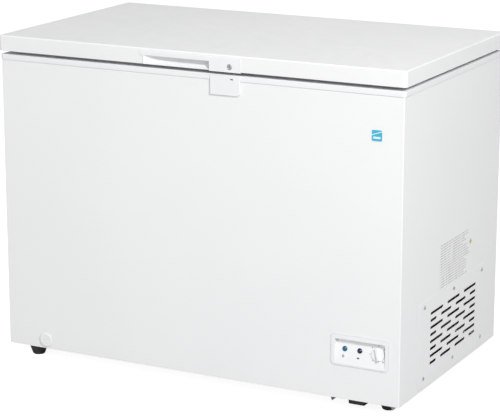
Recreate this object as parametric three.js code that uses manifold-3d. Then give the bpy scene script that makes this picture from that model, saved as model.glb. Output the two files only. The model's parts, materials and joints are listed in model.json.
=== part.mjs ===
// Chest freezer: a foamed steel cabinet on four feet, with a sprung lid, a lock, a front
// control panel, a compressor compartment behind a slotted side cover and a hanging basket.
// Millimetres, +Z up, the front faces -Y. Heights are counted from the floor. Pieces are
// drawn about the cabinet's centre line; the last group moves them so that the origin is
// the middle of the whole freezer's footprint.
import * as THREE from 'three';
import { mergeVertices } from 'three/addons/utils/BufferGeometryUtils.js';
import Module from 'manifold-3d';

const wasm = await Module();
wasm.setup();

// ---- Driving dimensions ----
const CABINET_WIDTH = 1106;
const CABINET_DEPTH = 630;
const CABINET_BOTTOM = 28;
const SHEET_TOP = 778;
const RIM_TOP = 792;
const LID_BOTTOM = 801;
const LID_TOP = 840;
const LID_OVERHANG = 5;
const RIM_PROUD = 2;
const WALL = 62;
const SHEET = 1.2;
const GAP = 0.3;

const SIDE = CABINET_WIDTH / 2;
const BACK = CABINET_DEPTH / 2;
const FRONT = -BACK;
const INNER_SIDE = SIDE - SHEET - GAP;
const INNER_FRONT = FRONT + SHEET + GAP;
const BEND_OUTSIDE = 2.2;
const BEND_INSIDE = 0.8;

// The storage tub and the step over the compressor.
const TUB_X = SIDE - WALL;
const TUB_Y = BACK - WALL;
const TUB_FLOOR = 86;
const TUB_RADIUS = 30;
const STEP_X = 293;
const STEP_TOP = 323;
const COIL_SPACE = 10.5;
const FLANGE_LAP = 22;
const FLANGE_RADIUS = 42;
const FLANGE_BOTTOM = 776.6;

// The cooling coil round the tub and the warm coil behind the back panel.
const COOLING = { turns: 5, z: [372, 742], radius: 4 };
const WARM = { runs: 6, x: 500, firstZ: 180, pitch: 100, bend: 45, radius: 2.4 };
const WARM_Y = BACK - SHEET - 3.8;
const FOAM_BACK = BACK - SHEET - 7.3;

// The compressor compartment at the right end.
const COMPARTMENT_X = 343.3;
const COMPARTMENT_TOP = 278;
const BASE_Z = CABINET_BOTTOM + GAP;
const BASE_THICKNESS = 2;
const BASE_TOP = BASE_Z + BASE_THICKNESS + GAP;
const BASE_RIBS = { x: [-430, -210, 10, 230], half: 14, depth: 4, endMargin: 90 };
const TRAY_MARGIN = 8;
const TRAY_EDGES = [367, 526];
const TRAY_EDGE_Z = 12;

// Feet: radius and height in profile, and where each one stands.
const FOOT_PROFILE = [[0, 0], [15, 0], [16.5, 2], [23, 21], [23, CABINET_BOTTOM], [0, CABINET_BOTTOM]];
const FEET = {
  foot_front_left: [-483, FRONT + 30],
  foot_rear_left: [-483, BACK - 36],
  foot_front_right: [501, FRONT + 58],
  foot_rear_right: [501, BACK - 73],
};
const BUFFER = { x: [411, 454], y: [FRONT + 20, FRONT + 48], z: [10, CABINET_BOTTOM] };

// The rim's opening and the ledge that the basket hangs on.
const RIM_OPENING = [481, 243];
const RIM_LEDGE = [489, 251];
const RIM_RADII = { outside: 8, opening: 14, ledge: 20 };
const LEDGE_Z = 785;
const LOCK_SLOT_Y = [-305, -298.5];

// The lid, its plug and the gasket. The plug stays above the basket's hooks.
const LID_X = SIDE + LID_OVERHANG;
const LID_Y = BACK + LID_OVERHANG;
const LID_RADIUS = 9;
const LID_INSIDE = [LID_X - SHEET - GAP, LID_Y - SHEET - GAP];
const LID_INSIDE_RADIUS = 7.5;
const LID_LINER = 1.7;
const LINER_Z = LID_BOTTOM + 0.5;
const PLUG = [470, 232];
const PLUG_RADIUS = 20;
const PLUG_BOTTOM = 792;
const GASKET = [531, 292];
const GASKET_WIDTH = 14;

// The handle insert in the lid's front, and the lock in it.
const HANDLE_X = [-136, 132];
const HANDLE_BACK = -295;
const HANDLE_FRONT = -LID_Y - 1.5;
const HANDLE_TOP = 827;
const HANDLE_BAR = { x: -144, z: [822, 833] };
// The finger pocket's depth behind the front at heights over the lid's lower edge.
const POCKET_PROFILE = [[1.2, 1.2], [10, 6.5], [17, 11.7], [21, 17], [22.5, 22]];
const LOCK_BLOCK_X = 47;
const LOCK_X = 102;
const LOCK_Z = 812;
const BARREL_RADIUS = 6.4;
const BARREL_BACK = -303.4;
const CAM_Y = [-302.9, -299.9];
const CAM_LENGTH = 26;
const CAM_HALF = 4;

// The hinges stand behind the cabinet.
const HINGE_X = 380;
const HINGE_Y = 329;
const HINGE_Z = 797;
const HINGE_RADIUS = 8.5;
const PIN_RADIUS = 3.5;
const PIN_HOLE = 3.8;
const PIN_HALF = 24.3;
const PIN_HEAD = 2;
const CHEEK = 2;
const HINGE_BASE = { half: 22, z: [660, 777.5] };
const HINGE_ARM = { half: 17, z: [804, 834] };
const SPRING = { radius: 6.5, wire: 1.3, y: 327, z: [668, 785], turns: 7 };

// The control panel in the front, whose face slopes back towards its top.
const PANEL_X = [372.5, 525.5];
const PANEL_Z = [112, 190.5];
const PANEL_RADIUS = 11;
const PANEL_LAP = 4;
const FACE_X = [383.5, 515];
const FACE_Z = [117.5, 178.5];
const FACE_Y = [FRONT - 1.5, FRONT + 9.5];
const FACE_WALL = 2.5;
const KNOB = [494.5, 151.4];
const KNOB_RADIUS = 17;
const KNOB_STEM = 4;
const LAMPS = [407.4, 446.5];
const LAMP_Z = 153.3;
const LAMP_RADIUS = 6.3;
const HOLE_PLAY = 0.5;

// The side cover of the compressor compartment.
const COVER_Y = [-205, 232];
const COVER_Z = [36, 253];
const COVER_THICKNESS = 1;
const COVER_SCREW_Y = [-174, 15, 206];
const COVER_SCREW_Z = [58.5, 238.5];
const SLOT_Y = [-133, 167];
const SLOT_TOP_Z = 212;
const SLOT_ROWS = 8;
const SLOT_PITCH = 18.1;
const SLOT_HEIGHT = 7.2;
const SLOT_BRIDGE = 28;
const SLOT_MIDDLE = 68;
const SCREW = { hole: 2.4, shank: 1.8, head: 4.6, headHeight: 2, recess: [5.6, 0.9] };

const DRAIN = { x: -440, y: -200, z: 51, bore: 6.5, outside: 8.6, hole: 12, cap: 19.5, plug: 14 };
const PLUG_NECK = 8.6;
const GLAND = { x: 470, z: 100, barrel: 8, bore: 4 };
const COMPRESSOR = { x: 450, y: 60, bottom: 49, height: 165, radius: 75, stretch: 1.3 };
const RELAY = { half: 27, depth: 35, z: [84, 152] };
const DRIER = { x: 382, y: 236 };
const TUBE_RUN = { suctionZ: 118, suctionTop: 262, suctionOut: 34, dischargeX: 539, dischargeZ: [110, 252] };

const STRIKE = { x: [48.5, 129], bottom: 742.5, cutCorner: 5.5, proud: 4.4 };
const KEEPER = { x: [103, 111], z: [780.3, 783] };
const DATA_LABEL = { y: [-78, 138], z: [254.5, 374] };
const STICKER = { x: [471.5, 497.5], z: [669.5, 695.5], radius: 3 };

const BASKET = {
  x: [288, 474], y: 238, z: [562, 762], wire: 2.5, wireSides: 4, bend: 16, hookSpread: 68, lowFrame: 100,
  lengthwise: 3, crosswise: 6,
};

// The furthest reach to the front and to the back, which set the origin.
const FRONT_REACH = -HANDLE_FRONT;
const BACK_REACH = HINGE_Y + HINGE_RADIUS;

// ---- Finishes: colour, roughness, metalness ----
const FINISH = {
  whitePaint: [0xf1f2f2, 0.42, 0.1],
  whitePlastic: [0xeeeff0, 0.5, 0],
  linerWhite: [0xe9ecec, 0.38, 0.15],
  galvanised: [0xa8abad, 0.45, 0.8],
  foam: [0xe3d5a2, 0.9, 0],
  gasket: [0xbfc1c2, 0.75, 0],
  blackRubber: [0x1a1a1b, 0.8, 0],
  blackPaint: [0x17181a, 0.45, 0.3],
  copper: [0xb4703f, 0.35, 0.9],
  steel: [0xb9bbbd, 0.3, 0.9],
  basketCoat: [0xe6e7e8, 0.4, 0],
  teal: [0x1d7c99, 0.2, 0],
  navy: [0x1c1a55, 0.2, 0],
  blueLabel: [0x2a9fd4, 0.5, 0],
  whiteLabel: [0xf4f4f1, 0.6, 0],
};

// ---- Solids ----

/** A closed three.js geometry as a solid, turned to face outwards. */
function toSolid(geometry) {
  const bare = geometry.clone();
  bare.deleteAttribute('normal');
  bare.deleteAttribute('uv');
  const merged = mergeVertices(bare, 1e-4);
  const position = merged.attributes.position;
  const triangles = [];
  let volume = 0;
  for (let i = 0; i < merged.index.count; i += 3) {
    const [a, b, c] = [0, 1, 2].map((k) => merged.index.getX(i + k));
    if (a === b || b === c || c === a) continue;
    triangles.push([a, b, c]);
    const [p, q, r] = [a, b, c].map((k) => new THREE.Vector3().fromBufferAttribute(position, k));
    volume += p.dot(q.cross(r));
  }
  const facing = volume < 0 ? triangles.map(([a, b, c]) => [a, c, b]) : triangles;
  return new wasm.Manifold(new wasm.Mesh({
    numProp: 3,
    vertProperties: new Float32Array(position.array),
    triVerts: new Uint32Array(facing.flat()),
  }));
}

const join = (...solids) => solids.reduce((whole, next) => whole.add(next));
const cut = (solid, ...tools) => tools.reduce((whole, tool) => whole.subtract(tool), solid);

/** A box between pairs of limits. */
function block(x, y, z) {
  const box = new THREE.BoxGeometry(x[1] - x[0], y[1] - y[0], z[1] - z[0]);
  box.translate((x[0] + x[1]) / 2, (y[0] + y[1]) / 2, (z[0] + z[1]) / 2);
  return toSolid(box);
}

/** A rectangle with round corners, between limits along two axes. */
function roundRect(a, b, radius) {
  const shape = new THREE.Shape();
  shape.moveTo(a[0] + radius, b[0]);
  shape.absarc(a[1] - radius, b[0] + radius, radius, -Math.PI / 2, 0);
  shape.absarc(a[1] - radius, b[1] - radius, radius, 0, Math.PI / 2);
  shape.absarc(a[0] + radius, b[1] - radius, radius, Math.PI / 2, Math.PI);
  shape.absarc(a[0] + radius, b[0] + radius, radius, Math.PI, 1.5 * Math.PI);
  return shape;
}

const around = (half) => [-half, half];
const narrowed = ([low, high], margin) => [low + margin, high - margin];
const outline = (points) => new THREE.Shape(points.map(([a, b]) => new THREE.Vector2(a, b)));

function extrude(shape, depth, arcSteps) {
  return new THREE.ExtrudeGeometry(shape, { depth, bevelEnabled: false, curveSegments: arcSteps });
}

/** An outline in X and Y, extruded upwards. */
function slab(shape, z, arcSteps = 4) {
  return toSolid(extrude(shape, z[1] - z[0], arcSteps).translate(0, 0, z[0]));
}

/** An outline in X and Z, extruded along Y. */
function frontSlab(shape, y, arcSteps = 4) {
  const solid = extrude(shape, y[1] - y[0], arcSteps);
  return toSolid(solid.rotateX(Math.PI / 2).translate(0, y[1], 0));
}

/** An outline in Y and Z, extruded along X. */
function sideSlab(shape, x, arcSteps = 4) {
  const axes = [new THREE.Vector3(0, 1, 0), new THREE.Vector3(0, 0, 1), new THREE.Vector3(1, 0, 0)];
  const turn = new THREE.Matrix4().makeBasis(...axes);
  return toSolid(extrude(shape, x[1] - x[0], arcSteps).applyMatrix4(turn).translate(x[0], 0, 0));
}

/** A straight rod between two points. */
function rod(from, to, radius, sides = 12) {
  const a = new THREE.Vector3(...from);
  const b = new THREE.Vector3(...to);
  const along = b.clone().sub(a);
  const cylinder = new THREE.CylinderGeometry(radius, radius, along.length(), sides);
  const turn = new THREE.Quaternion().setFromUnitVectors(new THREE.Vector3(0, 1, 0), along.normalize());
  cylinder.applyQuaternion(turn);
  const middle = a.add(b).multiplyScalar(0.5);
  return toSolid(cylinder.translate(middle.x, middle.y, middle.z));
}

/** A profile of radius and height, turned about the vertical. It starts and ends on the axis. */
function turned(profile, sides = 16) {
  const points = profile.map(([r, z]) => new THREE.Vector2(r, z));
  return new THREE.LatheGeometry(points, sides).rotateX(Math.PI / 2);
}

/** A curve through given points, so that a sweep has one section at each point. */
class Route extends THREE.Curve {
  constructor(points) {
    super();
    this.points = points;
  }

  getUtoTmapping(u) {
    return u;
  }

  getPoint(t, target = new THREE.Vector3()) {
    const at = t * (this.points.length - 1);
    const i = Math.min(Math.floor(at), this.points.length - 2);
    return target.lerpVectors(this.points[i], this.points[i + 1], at - i);
  }
}

/** Points along straight runs whose corners are rounded to a bend radius. */
function bentRun(corners, bendRadius, arcSteps = 3) {
  const at = corners.map((c) => new THREE.Vector3(...c));
  const points = [at[0]];
  for (let i = 1; i < at.length - 1; i += 1) {
    const back = at[i - 1].clone().sub(at[i]).normalize();
    const ahead = at[i + 1].clone().sub(at[i]).normalize();
    const half = back.angleTo(ahead) / 2;
    const start = at[i].clone().addScaledVector(back, bendRadius / Math.tan(half));
    const centreWay = back.clone().add(ahead).normalize();
    const centre = at[i].clone().addScaledVector(centreWay, bendRadius / Math.sin(half));
    const axis = back.clone().cross(ahead).normalize();
    const sweep = -(Math.PI - 2 * half);
    for (let k = 0; k <= arcSteps; k += 1) {
      const arm = start.clone().sub(centre).applyAxisAngle(axis, (sweep * k) / arcSteps);
      points.push(centre.clone().add(arm));
    }
  }
  points.push(at[at.length - 1]);
  return points;
}

/** A round wire or tube along points, with a bore when one is given. */
function sweep(points, radius, sides = 6, bore = 0) {
  const ring = (r) => Array.from({ length: sides }, (_, i) => {
    const angle = (2 * Math.PI * i) / sides;
    return new THREE.Vector2(r * Math.cos(angle), r * Math.sin(angle));
  });
  const section = new THREE.Shape(ring(radius));
  if (bore > 0) section.holes.push(new THREE.Path(ring(bore)));
  const options = { steps: points.length - 1, extrudePath: new Route(points), bevelEnabled: false };
  return toSolid(new THREE.ExtrudeGeometry(section, options));
}

/** One lap round a rectangle with round corners, at heights given by the share of the lap done. */
function lap(halfX, halfY, radius, height, arcSteps = 3) {
  const points = [];
  const centres = [[1, -1], [1, 1], [-1, 1], [-1, -1]];
  centres.forEach(([sx, sy], corner) => {
    for (let k = 0; k <= arcSteps; k += 1) {
      const angle = -Math.PI / 2 + (corner + k / arcSteps) * (Math.PI / 2);
      const share = (corner + k / arcSteps) / 4;
      points.push(new THREE.Vector3(
        sx * (halfX - radius) + radius * Math.cos(angle),
        sy * (halfY - radius) + radius * Math.sin(angle),
        height(share),
      ));
    }
  });
  return points;
}

// ---- Assembly ----
const freezer = new THREE.Group();
freezer.position.set(0, -(BACK_REACH - FRONT_REACH) / 2, 0);

/** Adds a solid as a named piece with its own material. */
function add(name, solid, finish) {
  const mesh = solid.getMesh();
  const geometry = new THREE.BufferGeometry();
  geometry.setAttribute('position', new THREE.BufferAttribute(mesh.vertProperties, 3));
  geometry.setIndex(new THREE.BufferAttribute(mesh.triVerts, 1));
  geometry.computeVertexNormals();
  const [color, roughness, metalness] = finish;
  const piece = new THREE.Mesh(geometry, new THREE.MeshStandardMaterial({ color, roughness, metalness }));
  piece.name = name;
  freezer.add(piece);
}

// ---- Cabinet shell ----

/** The bent sheet that makes the front and both sides, open at the back. Its bends are nearly
 * square inside, so that the square corners of what it holds clear them. */
function outerWrap() {
  const z = [CABINET_BOTTOM, SHEET_TOP];
  const past = [z[0] - 1, z[1] + 1];
  const behindY = [BACK, BACK + 2 * BEND_OUTSIDE];
  const whole = slab(roundRect(around(SIDE), [FRONT, BACK + BEND_OUTSIDE], BEND_OUTSIDE), z);
  const inside = slab(roundRect(around(SIDE - SHEET), [FRONT + SHEET, behindY[1]], BEND_INSIDE), past);
  const behind = block(around(SIDE + 1), behindY, past);
  const panelHole = frontSlab(
    roundRect(narrowed(PANEL_X, PANEL_LAP), narrowed(PANEL_Z, PANEL_LAP), 7.5),
    [FRONT - 2, FRONT + 4],
  );
  const drainHole = rod([DRAIN.x, FRONT - 2, DRAIN.z], [DRAIN.x, FRONT + 4, DRAIN.z], DRAIN.hole);
  const serviceHole = block(
    [SIDE - 4, SIDE + 2],
    [COVER_Y[0] + 48, COVER_Y[1] - 42],
    [COVER_Z[0] + 32, COVER_Z[1] - 26],
  );
  return cut(whole, inside, behind, panelHole, drainHole, serviceHole, ...screwHoles());
}

/** Clearance holes for the side cover's screws. */
function screwHoles() {
  const holes = [];
  for (const y of COVER_SCREW_Y) {
    for (const z of COVER_SCREW_Z) holes.push(rod([SIDE - 4, y, z], [SIDE + 4, y, z], SCREW.hole, 6));
  }
  return holes;
}

function backPanel() {
  const panel = block(around(INNER_SIDE), [BACK - SHEET, BACK], [BASE_Z, SHEET_TOP]);
  const hole = rod([GLAND.x, BACK - 4, GLAND.z], [GLAND.x, BACK + 2, GLAND.z], GLAND.barrel + HOLE_PLAY);
  return cut(panel, hole);
}

function basePanel() {
  const reach = [-INNER_SIDE, COMPARTMENT_X - GAP];
  const inY = [INNER_FRONT, BACK - SHEET - GAP];
  const { half, depth, endMargin } = BASE_RIBS;
  const ribs = BASE_RIBS.x.map((x) => (
    block([x - half, x + half], narrowed(inY, endMargin), [BASE_Z - depth, BASE_Z + 1])
  ));
  return join(block(reach, inY, [BASE_Z, BASE_Z + BASE_THICKNESS]), ...ribs);
}

/** The tray under the compressor: a plate with two turned-down edges, bevelled at their ends. */
function compressorTray() {
  const plate = block(
    [COMPARTMENT_X + GAP, INNER_SIDE],
    narrowed([FRONT, BACK], TRAY_MARGIN),
    [BASE_Z, BASE_Z + BASE_THICKNESS],
  );
  const edge = outline([
    [FRONT + 9, BASE_Z + 1], [FRONT + 20, TRAY_EDGE_Z], [BACK - 20, TRAY_EDGE_Z], [BACK - 9, BASE_Z + 1],
  ]);
  return join(plate, ...TRAY_EDGES.map((x) => sideSlab(edge, [x, x + BASE_THICKNESS])));
}

/** The folded sheet between the foam and the compressor compartment. */
function compressorBulkhead() {
  const y = [INNER_FRONT, BACK - SHEET - 8];
  const wall = block([COMPARTMENT_X, COMPARTMENT_X + SHEET], y, [BASE_TOP, COMPARTMENT_TOP + SHEET]);
  return join(wall, block([COMPARTMENT_X, INNER_SIDE], y, [COMPARTMENT_TOP, COMPARTMENT_TOP + SHEET]));
}

/** The space inside the tub, grown outwards by a margin. */
function tubSpace(margin, top, bottomMargin = margin) {
  const upper = slab(
    roundRect(around(TUB_X + margin), around(TUB_Y + margin), TUB_RADIUS + margin),
    [STEP_TOP - bottomMargin, top],
    5,
  );
  const lower = slab(
    roundRect([-TUB_X - margin, STEP_X + margin], around(TUB_Y + margin), TUB_RADIUS + margin),
    [TUB_FLOOR - bottomMargin, STEP_TOP + 20],
    5,
  );
  return join(upper, lower);
}

function innerLiner() {
  const flange = slab(
    roundRect(around(TUB_X + FLANGE_LAP), around(TUB_Y + FLANGE_LAP), FLANGE_RADIUS),
    [FLANGE_BOTTOM, SHEET_TOP],
  );
  const drainZ = [TUB_FLOOR - 4, TUB_FLOOR + 4];
  const drain = rod([DRAIN.x, DRAIN.y, drainZ[0]], [DRAIN.x, DRAIN.y, drainZ[1]], PLUG_NECK + HOLE_PLAY);
  return cut(join(tubSpace(SHEET, SHEET_TOP), flange), tubSpace(0, SHEET_TOP + 20), drain);
}

/** The rigid foam between the shell and the liner, with room for the coils and the drain. */
function foamBody() {
  const whole = block(around(INNER_SIDE), [INNER_FRONT, FOAM_BACK], [BASE_TOP, FLANGE_BOTTOM - GAP]);
  const compartment = block([COMPARTMENT_X - GAP, SIDE], [FRONT, BACK], [0, COMPARTMENT_TOP + SHEET + GAP]);
  const room = DRAIN.outside + 2.4;
  const channel = block(
    [DRAIN.x - room, DRAIN.x + room],
    [FRONT, DRAIN.y + room],
    [DRAIN.z - room, TUB_FLOOR],
  );
  const tub = tubSpace(SHEET + COIL_SPACE, SHEET_TOP + 20, SHEET + GAP);
  return cut(whole, tub, compartment, channel);
}

/** The moulded collar round the opening: outer band, top land, and the basket's ledge. */
function topRim() {
  const z = [SHEET_TOP + GAP, RIM_TOP];
  const above = [z[0] - 1, RIM_TOP + 1];
  const whole = slab(roundRect(around(SIDE + RIM_PROUD), around(BACK + RIM_PROUD), RIM_RADII.outside), z);
  const opening = slab(roundRect(...RIM_OPENING.map(around), RIM_RADII.opening), above);
  const ledge = slab(roundRect(...RIM_LEDGE.map(around), RIM_RADII.ledge), [LEDGE_Z, above[1]]);
  const lockSlot = block([LOCK_X - 22, LOCK_X + 6], LOCK_SLOT_Y, [LEDGE_Z - 2, above[1]]);
  const keeperRoom = block(
    KEEPER.x.map((x, i) => x + (i ? 0.5 : -0.5)),
    [FRONT - RIM_PROUD - 1, FRONT + 5],
    KEEPER.z.map((z, i) => z + (i ? 0.5 : -0.5)),
  );
  return cut(whole, opening, ledge, lockSlot, keeperRoom);
}

add('outer_wrap', outerWrap(), FINISH.whitePaint);
add('back_panel', backPanel(), FINISH.galvanised);
add('base_panel', basePanel(), FINISH.galvanised);
add('compressor_tray', compressorTray(), FINISH.galvanised);
add('compressor_bulkhead', compressorBulkhead(), FINISH.galvanised);
add('foam_body', foamBody(), FINISH.foam);
add('inner_liner', innerLiner(), FINISH.linerWhite);
add('top_rim', topRim(), FINISH.whitePlastic);

// ---- Feet ----
for (const [name, [x, y]] of Object.entries(FEET)) {
  add(name, toSolid(turned(FOOT_PROFILE).translate(x, y, 0)), FINISH.blackRubber);
}
add('tray_buffer', block(BUFFER.x, BUFFER.y, BUFFER.z), FINISH.blackRubber);

// ---- Side cover of the compressor compartment ----

/** One slot of the cover, with round ends, between two Y limits. */
function ventSlot(y, z) {
  const half = SLOT_HEIGHT / 2;
  const shape = new THREE.Shape();
  shape.moveTo(y[0] + half, z - half);
  shape.absarc(y[1] - half, z, half, -Math.PI / 2, Math.PI / 2);
  shape.absarc(y[0] + half, z, half, Math.PI / 2, 1.5 * Math.PI);
  return sideSlab(shape, [SIDE - 2, SIDE + 4], 2);
}

/** The slots stand in brick bond: rows of three, then rows of two with a short one at each end. */
function ventCover() {
  const width = SLOT_Y[1] - SLOT_Y[0];
  const long = (width - 2 * SLOT_BRIDGE) / 3;
  const short = (width - 3 * SLOT_BRIDGE - 2 * SLOT_MIDDLE) / 2;
  const tools = screwHoles();
  for (let row = 0; row < SLOT_ROWS; row += 1) {
    let y = SLOT_Y[0];
    for (const length of row % 2 ? [short, SLOT_MIDDLE, SLOT_MIDDLE, short] : [long, long, long]) {
      tools.push(ventSlot([y, y + length], SLOT_TOP_Z - row * SLOT_PITCH));
      y += length + SLOT_BRIDGE;
    }
  }
  const thickness = [SIDE + GAP, SIDE + GAP + COVER_THICKNESS];
  return cut(sideSlab(roundRect(COVER_Y, COVER_Z, 6), thickness), ...tools);
}

add('vent_cover', ventCover(), FINISH.whitePaint);

/** A pan-head screw with a cross recess. */
function coverScrew(y, z) {
  const under = SIDE + 2 * GAP + COVER_THICKNESS;
  const head = rod([under, y, z], [under + SCREW.headHeight, y, z], SCREW.head, 12);
  const shank = rod([SIDE - 9, y, z], [under + 1, y, z], SCREW.shank, 6);
  const [long, narrow] = SCREW.recess;
  const recess = [[long, narrow], [narrow, long]].map(([a, b]) => (
    block([under + 1.2, under + 3], [y - a / 2, y + a / 2], [z - b / 2, z + b / 2])
  ));
  return cut(join(head, shank), ...recess);
}

let screw = 0;
for (const z of COVER_SCREW_Z) {
  for (const y of COVER_SCREW_Y) {
    screw += 1;
    add(`vent_screw_${screw}`, coverScrew(y, z), FINISH.steel);
  }
}

// ---- Refrigeration ----

/** The welded shell of the compressor on its foot plate. */
function compressorShell() {
  const { x, y, bottom, height, radius, stretch } = COMPRESSOR;
  const top = bottom + height;
  const profile = [
    [0, bottom + 6], [radius * 0.7, bottom + 6], [radius * 0.94, bottom + 22],
    [radius * 0.96, bottom + 78], [radius, bottom + 79], [radius, bottom + 88], [radius * 0.96, bottom + 89],
    [radius * 0.93, top - 36], [radius * 0.76, top - 12], [radius * 0.4, top], [0, top],
  ];
  const shell = toSolid(turned(profile, 20).scale(1, stretch, 1).translate(x, y, 0));
  const plate = block([x - 80, x + 80], [y - 110, y + 110], [bottom, bottom + 3]);
  const pedestal = rod([x, y, bottom], [x, y, bottom + 10], 40, 12);
  return join(shell, plate, pedestal);
}
add('compressor', compressorShell(), FINISH.blackPaint);

let mount = 0;
for (const x of [COMPRESSOR.x - 65, COMPRESSOR.x + 65]) {
  for (const y of [COMPRESSOR.y - 90, COMPRESSOR.y + 90]) {
    mount += 1;
    const profile = [
      [0, BASE_TOP], [10, BASE_TOP], [10, BASE_TOP + 5], [7.5, BASE_TOP + 8], [10, BASE_TOP + 11],
      [10, COMPRESSOR.bottom - GAP], [0, COMPRESSOR.bottom - GAP],
    ];
    add(`compressor_mount_${mount}`, toSolid(turned(profile, 12).translate(x, y, 0)), FINISH.blackRubber);
  }
}

const SHELL_FRONT = COMPRESSOR.y - COMPRESSOR.radius * COMPRESSOR.stretch;
const SHELL_BACK = COMPRESSOR.y + COMPRESSOR.radius * COMPRESSOR.stretch;
add('compressor_relay', block(
  [COMPRESSOR.x - RELAY.half, COMPRESSOR.x + RELAY.half],
  [SHELL_FRONT - 1 - RELAY.depth, SHELL_FRONT - 1],
  RELAY.z,
), FINISH.blackRubber);

/** The return tube, from the back of the shell up and into the foam. */
function suctionTube() {
  const { suctionZ, suctionTop, suctionOut } = TUBE_RUN;
  const y = SHELL_BACK + suctionOut;
  return sweep(bentRun([
    [COMPRESSOR.x, SHELL_BACK + 1, suctionZ], [COMPRESSOR.x, y, suctionZ],
    [COMPRESSOR.x, y, suctionTop], [COMPARTMENT_X + 3, y, suctionTop],
  ], 14), 4, 8);
}
add('suction_tube', suctionTube(), FINISH.copper);

/** The hot tube, from the side of the shell up and back to the warm coil. */
function dischargeTube() {
  const { dischargeX, dischargeZ } = TUBE_RUN;
  return sweep(bentRun([
    [COMPRESSOR.x + COMPRESSOR.radius + 1, COMPRESSOR.y, dischargeZ[0]],
    [dischargeX, COMPRESSOR.y, dischargeZ[0]],
    [dischargeX, COMPRESSOR.y, dischargeZ[1]],
    [dischargeX, BACK - 10, dischargeZ[1]],
  ], 10), 3, 8);
}
add('discharge_tube', dischargeTube(), FINISH.blackPaint);

const DRIER_PROFILE = [
  [0, 96], [3, 96], [3, 112], [9.5, 124], [9.5, 196], [3, 208], [3, 224], [0, 224],
];
add('filter_drier', toSolid(turned(DRIER_PROFILE, 12).translate(DRIER.x, DRIER.y, 0)), FINISH.copper);

/** The cooling coil wound round the liner, from just over the step up to the rim. */
function evaporatorCoil() {
  const { turns, z: [low, high], radius } = COOLING;
  const offset = SHEET + COIL_SPACE / 2;
  const points = [];
  for (let turn = 0; turn < turns; turn += 1) {
    const height = (share) => low + ((high - low) * (turn + share)) / turns;
    points.push(...lap(TUB_X + offset, TUB_Y + offset, TUB_RADIUS + offset, height));
  }
  return sweep(points, radius);
}
add('evaporator_coil', evaporatorCoil(), FINISH.copper);

/** The warm coil behind the back panel, running to and fro. */
function condenserCoil() {
  const corners = [];
  for (let run = 0; run < WARM.runs; run += 1) {
    const z = WARM.firstZ + run * WARM.pitch;
    const start = run % 2 ? -WARM.x : WARM.x;
    corners.push([start, WARM_Y, z], [-start, WARM_Y, z]);
  }
  return sweep(bentRun(corners, WARM.bend, 4), WARM.radius);
}
add('condenser_coil', condenserCoil(), FINISH.copper);

function cordGland() {
  const { x, z, barrel, bore } = GLAND;
  const body = join(
    rod([x, BACK - 6, z], [x, BACK + 2, z], barrel, 16),
    rod([x, BACK + GAP, z], [x, BACK + 3.5, z], barrel + 5, 16),
    rod([x, BACK + 3, z], [x, BACK + 12, z], barrel - 1.5, 16),
  );
  return cut(body, rod([x, BACK - 3, z], [x, BACK + 14, z], bore, 12));
}
add('cord_gland', cordGland(), FINISH.blackRubber);

// ---- Drain ----
add('drain_tube', sweep(bentRun([
  [DRAIN.x, DRAIN.y, TUB_FLOOR - SHEET - GAP], [DRAIN.x, DRAIN.y, DRAIN.z], [DRAIN.x, FRONT - 0.2, DRAIN.z],
], 12, 4), DRAIN.outside, 10, DRAIN.bore), FINISH.whitePlastic);

function drainCap() {
  const { x, z } = DRAIN;
  const cap = join(
    rod([x, FRONT - 3, z], [x, FRONT - 0.8, z], DRAIN.cap, 24),
    rod([x, FRONT - 1, z], [x, FRONT + 11, z], DRAIN.bore - 1, 10),
  );
  const grip = block([x - 11, x + 11], [FRONT - 4, FRONT - 2.2], [z - 1.5, z + 1.5]);
  return cut(cap, grip);
}
add('drain_cap', drainCap(), FINISH.whitePlastic);

const PLUG_PROFILE = [
  [0, TUB_FLOOR - 1], [PLUG_NECK - 0.6, TUB_FLOOR - 1], [PLUG_NECK - 0.6, TUB_FLOOR + GAP],
  [DRAIN.plug, TUB_FLOOR + GAP], [DRAIN.plug, TUB_FLOOR + 3],
  [5, TUB_FLOOR + 4.5], [4, TUB_FLOOR + 12], [0, TUB_FLOOR + 12],
];
add('drain_plug', toSolid(turned(PLUG_PROFILE).translate(DRAIN.x, DRAIN.y, 0)), FINISH.gasket);

// ---- Control panel ----
const FACE_RISE = FACE_Z[1] - FACE_Z[0];
const FACE_TILT = Math.atan2(FACE_Y[1] - FACE_Y[0], FACE_RISE);
const faceY = (z) => FACE_Y[0] + ((z - FACE_Z[0]) / FACE_RISE) * (FACE_Y[1] - FACE_Y[0]);

/** Stands a piece drawn on the X-Y plane, with +Z outwards, on the sloping face. */
function onFace(geometry, x, z) {
  const upFace = new THREE.Vector3(0, Math.sin(FACE_TILT), Math.cos(FACE_TILT));
  const outwards = new THREE.Vector3(0, -Math.cos(FACE_TILT), Math.sin(FACE_TILT));
  const frame = new THREE.Matrix4().makeBasis(new THREE.Vector3(1, 0, 0), upFace, outwards);
  return toSolid(geometry.applyMatrix4(frame.setPosition(x, faceY(z), z)));
}

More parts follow.
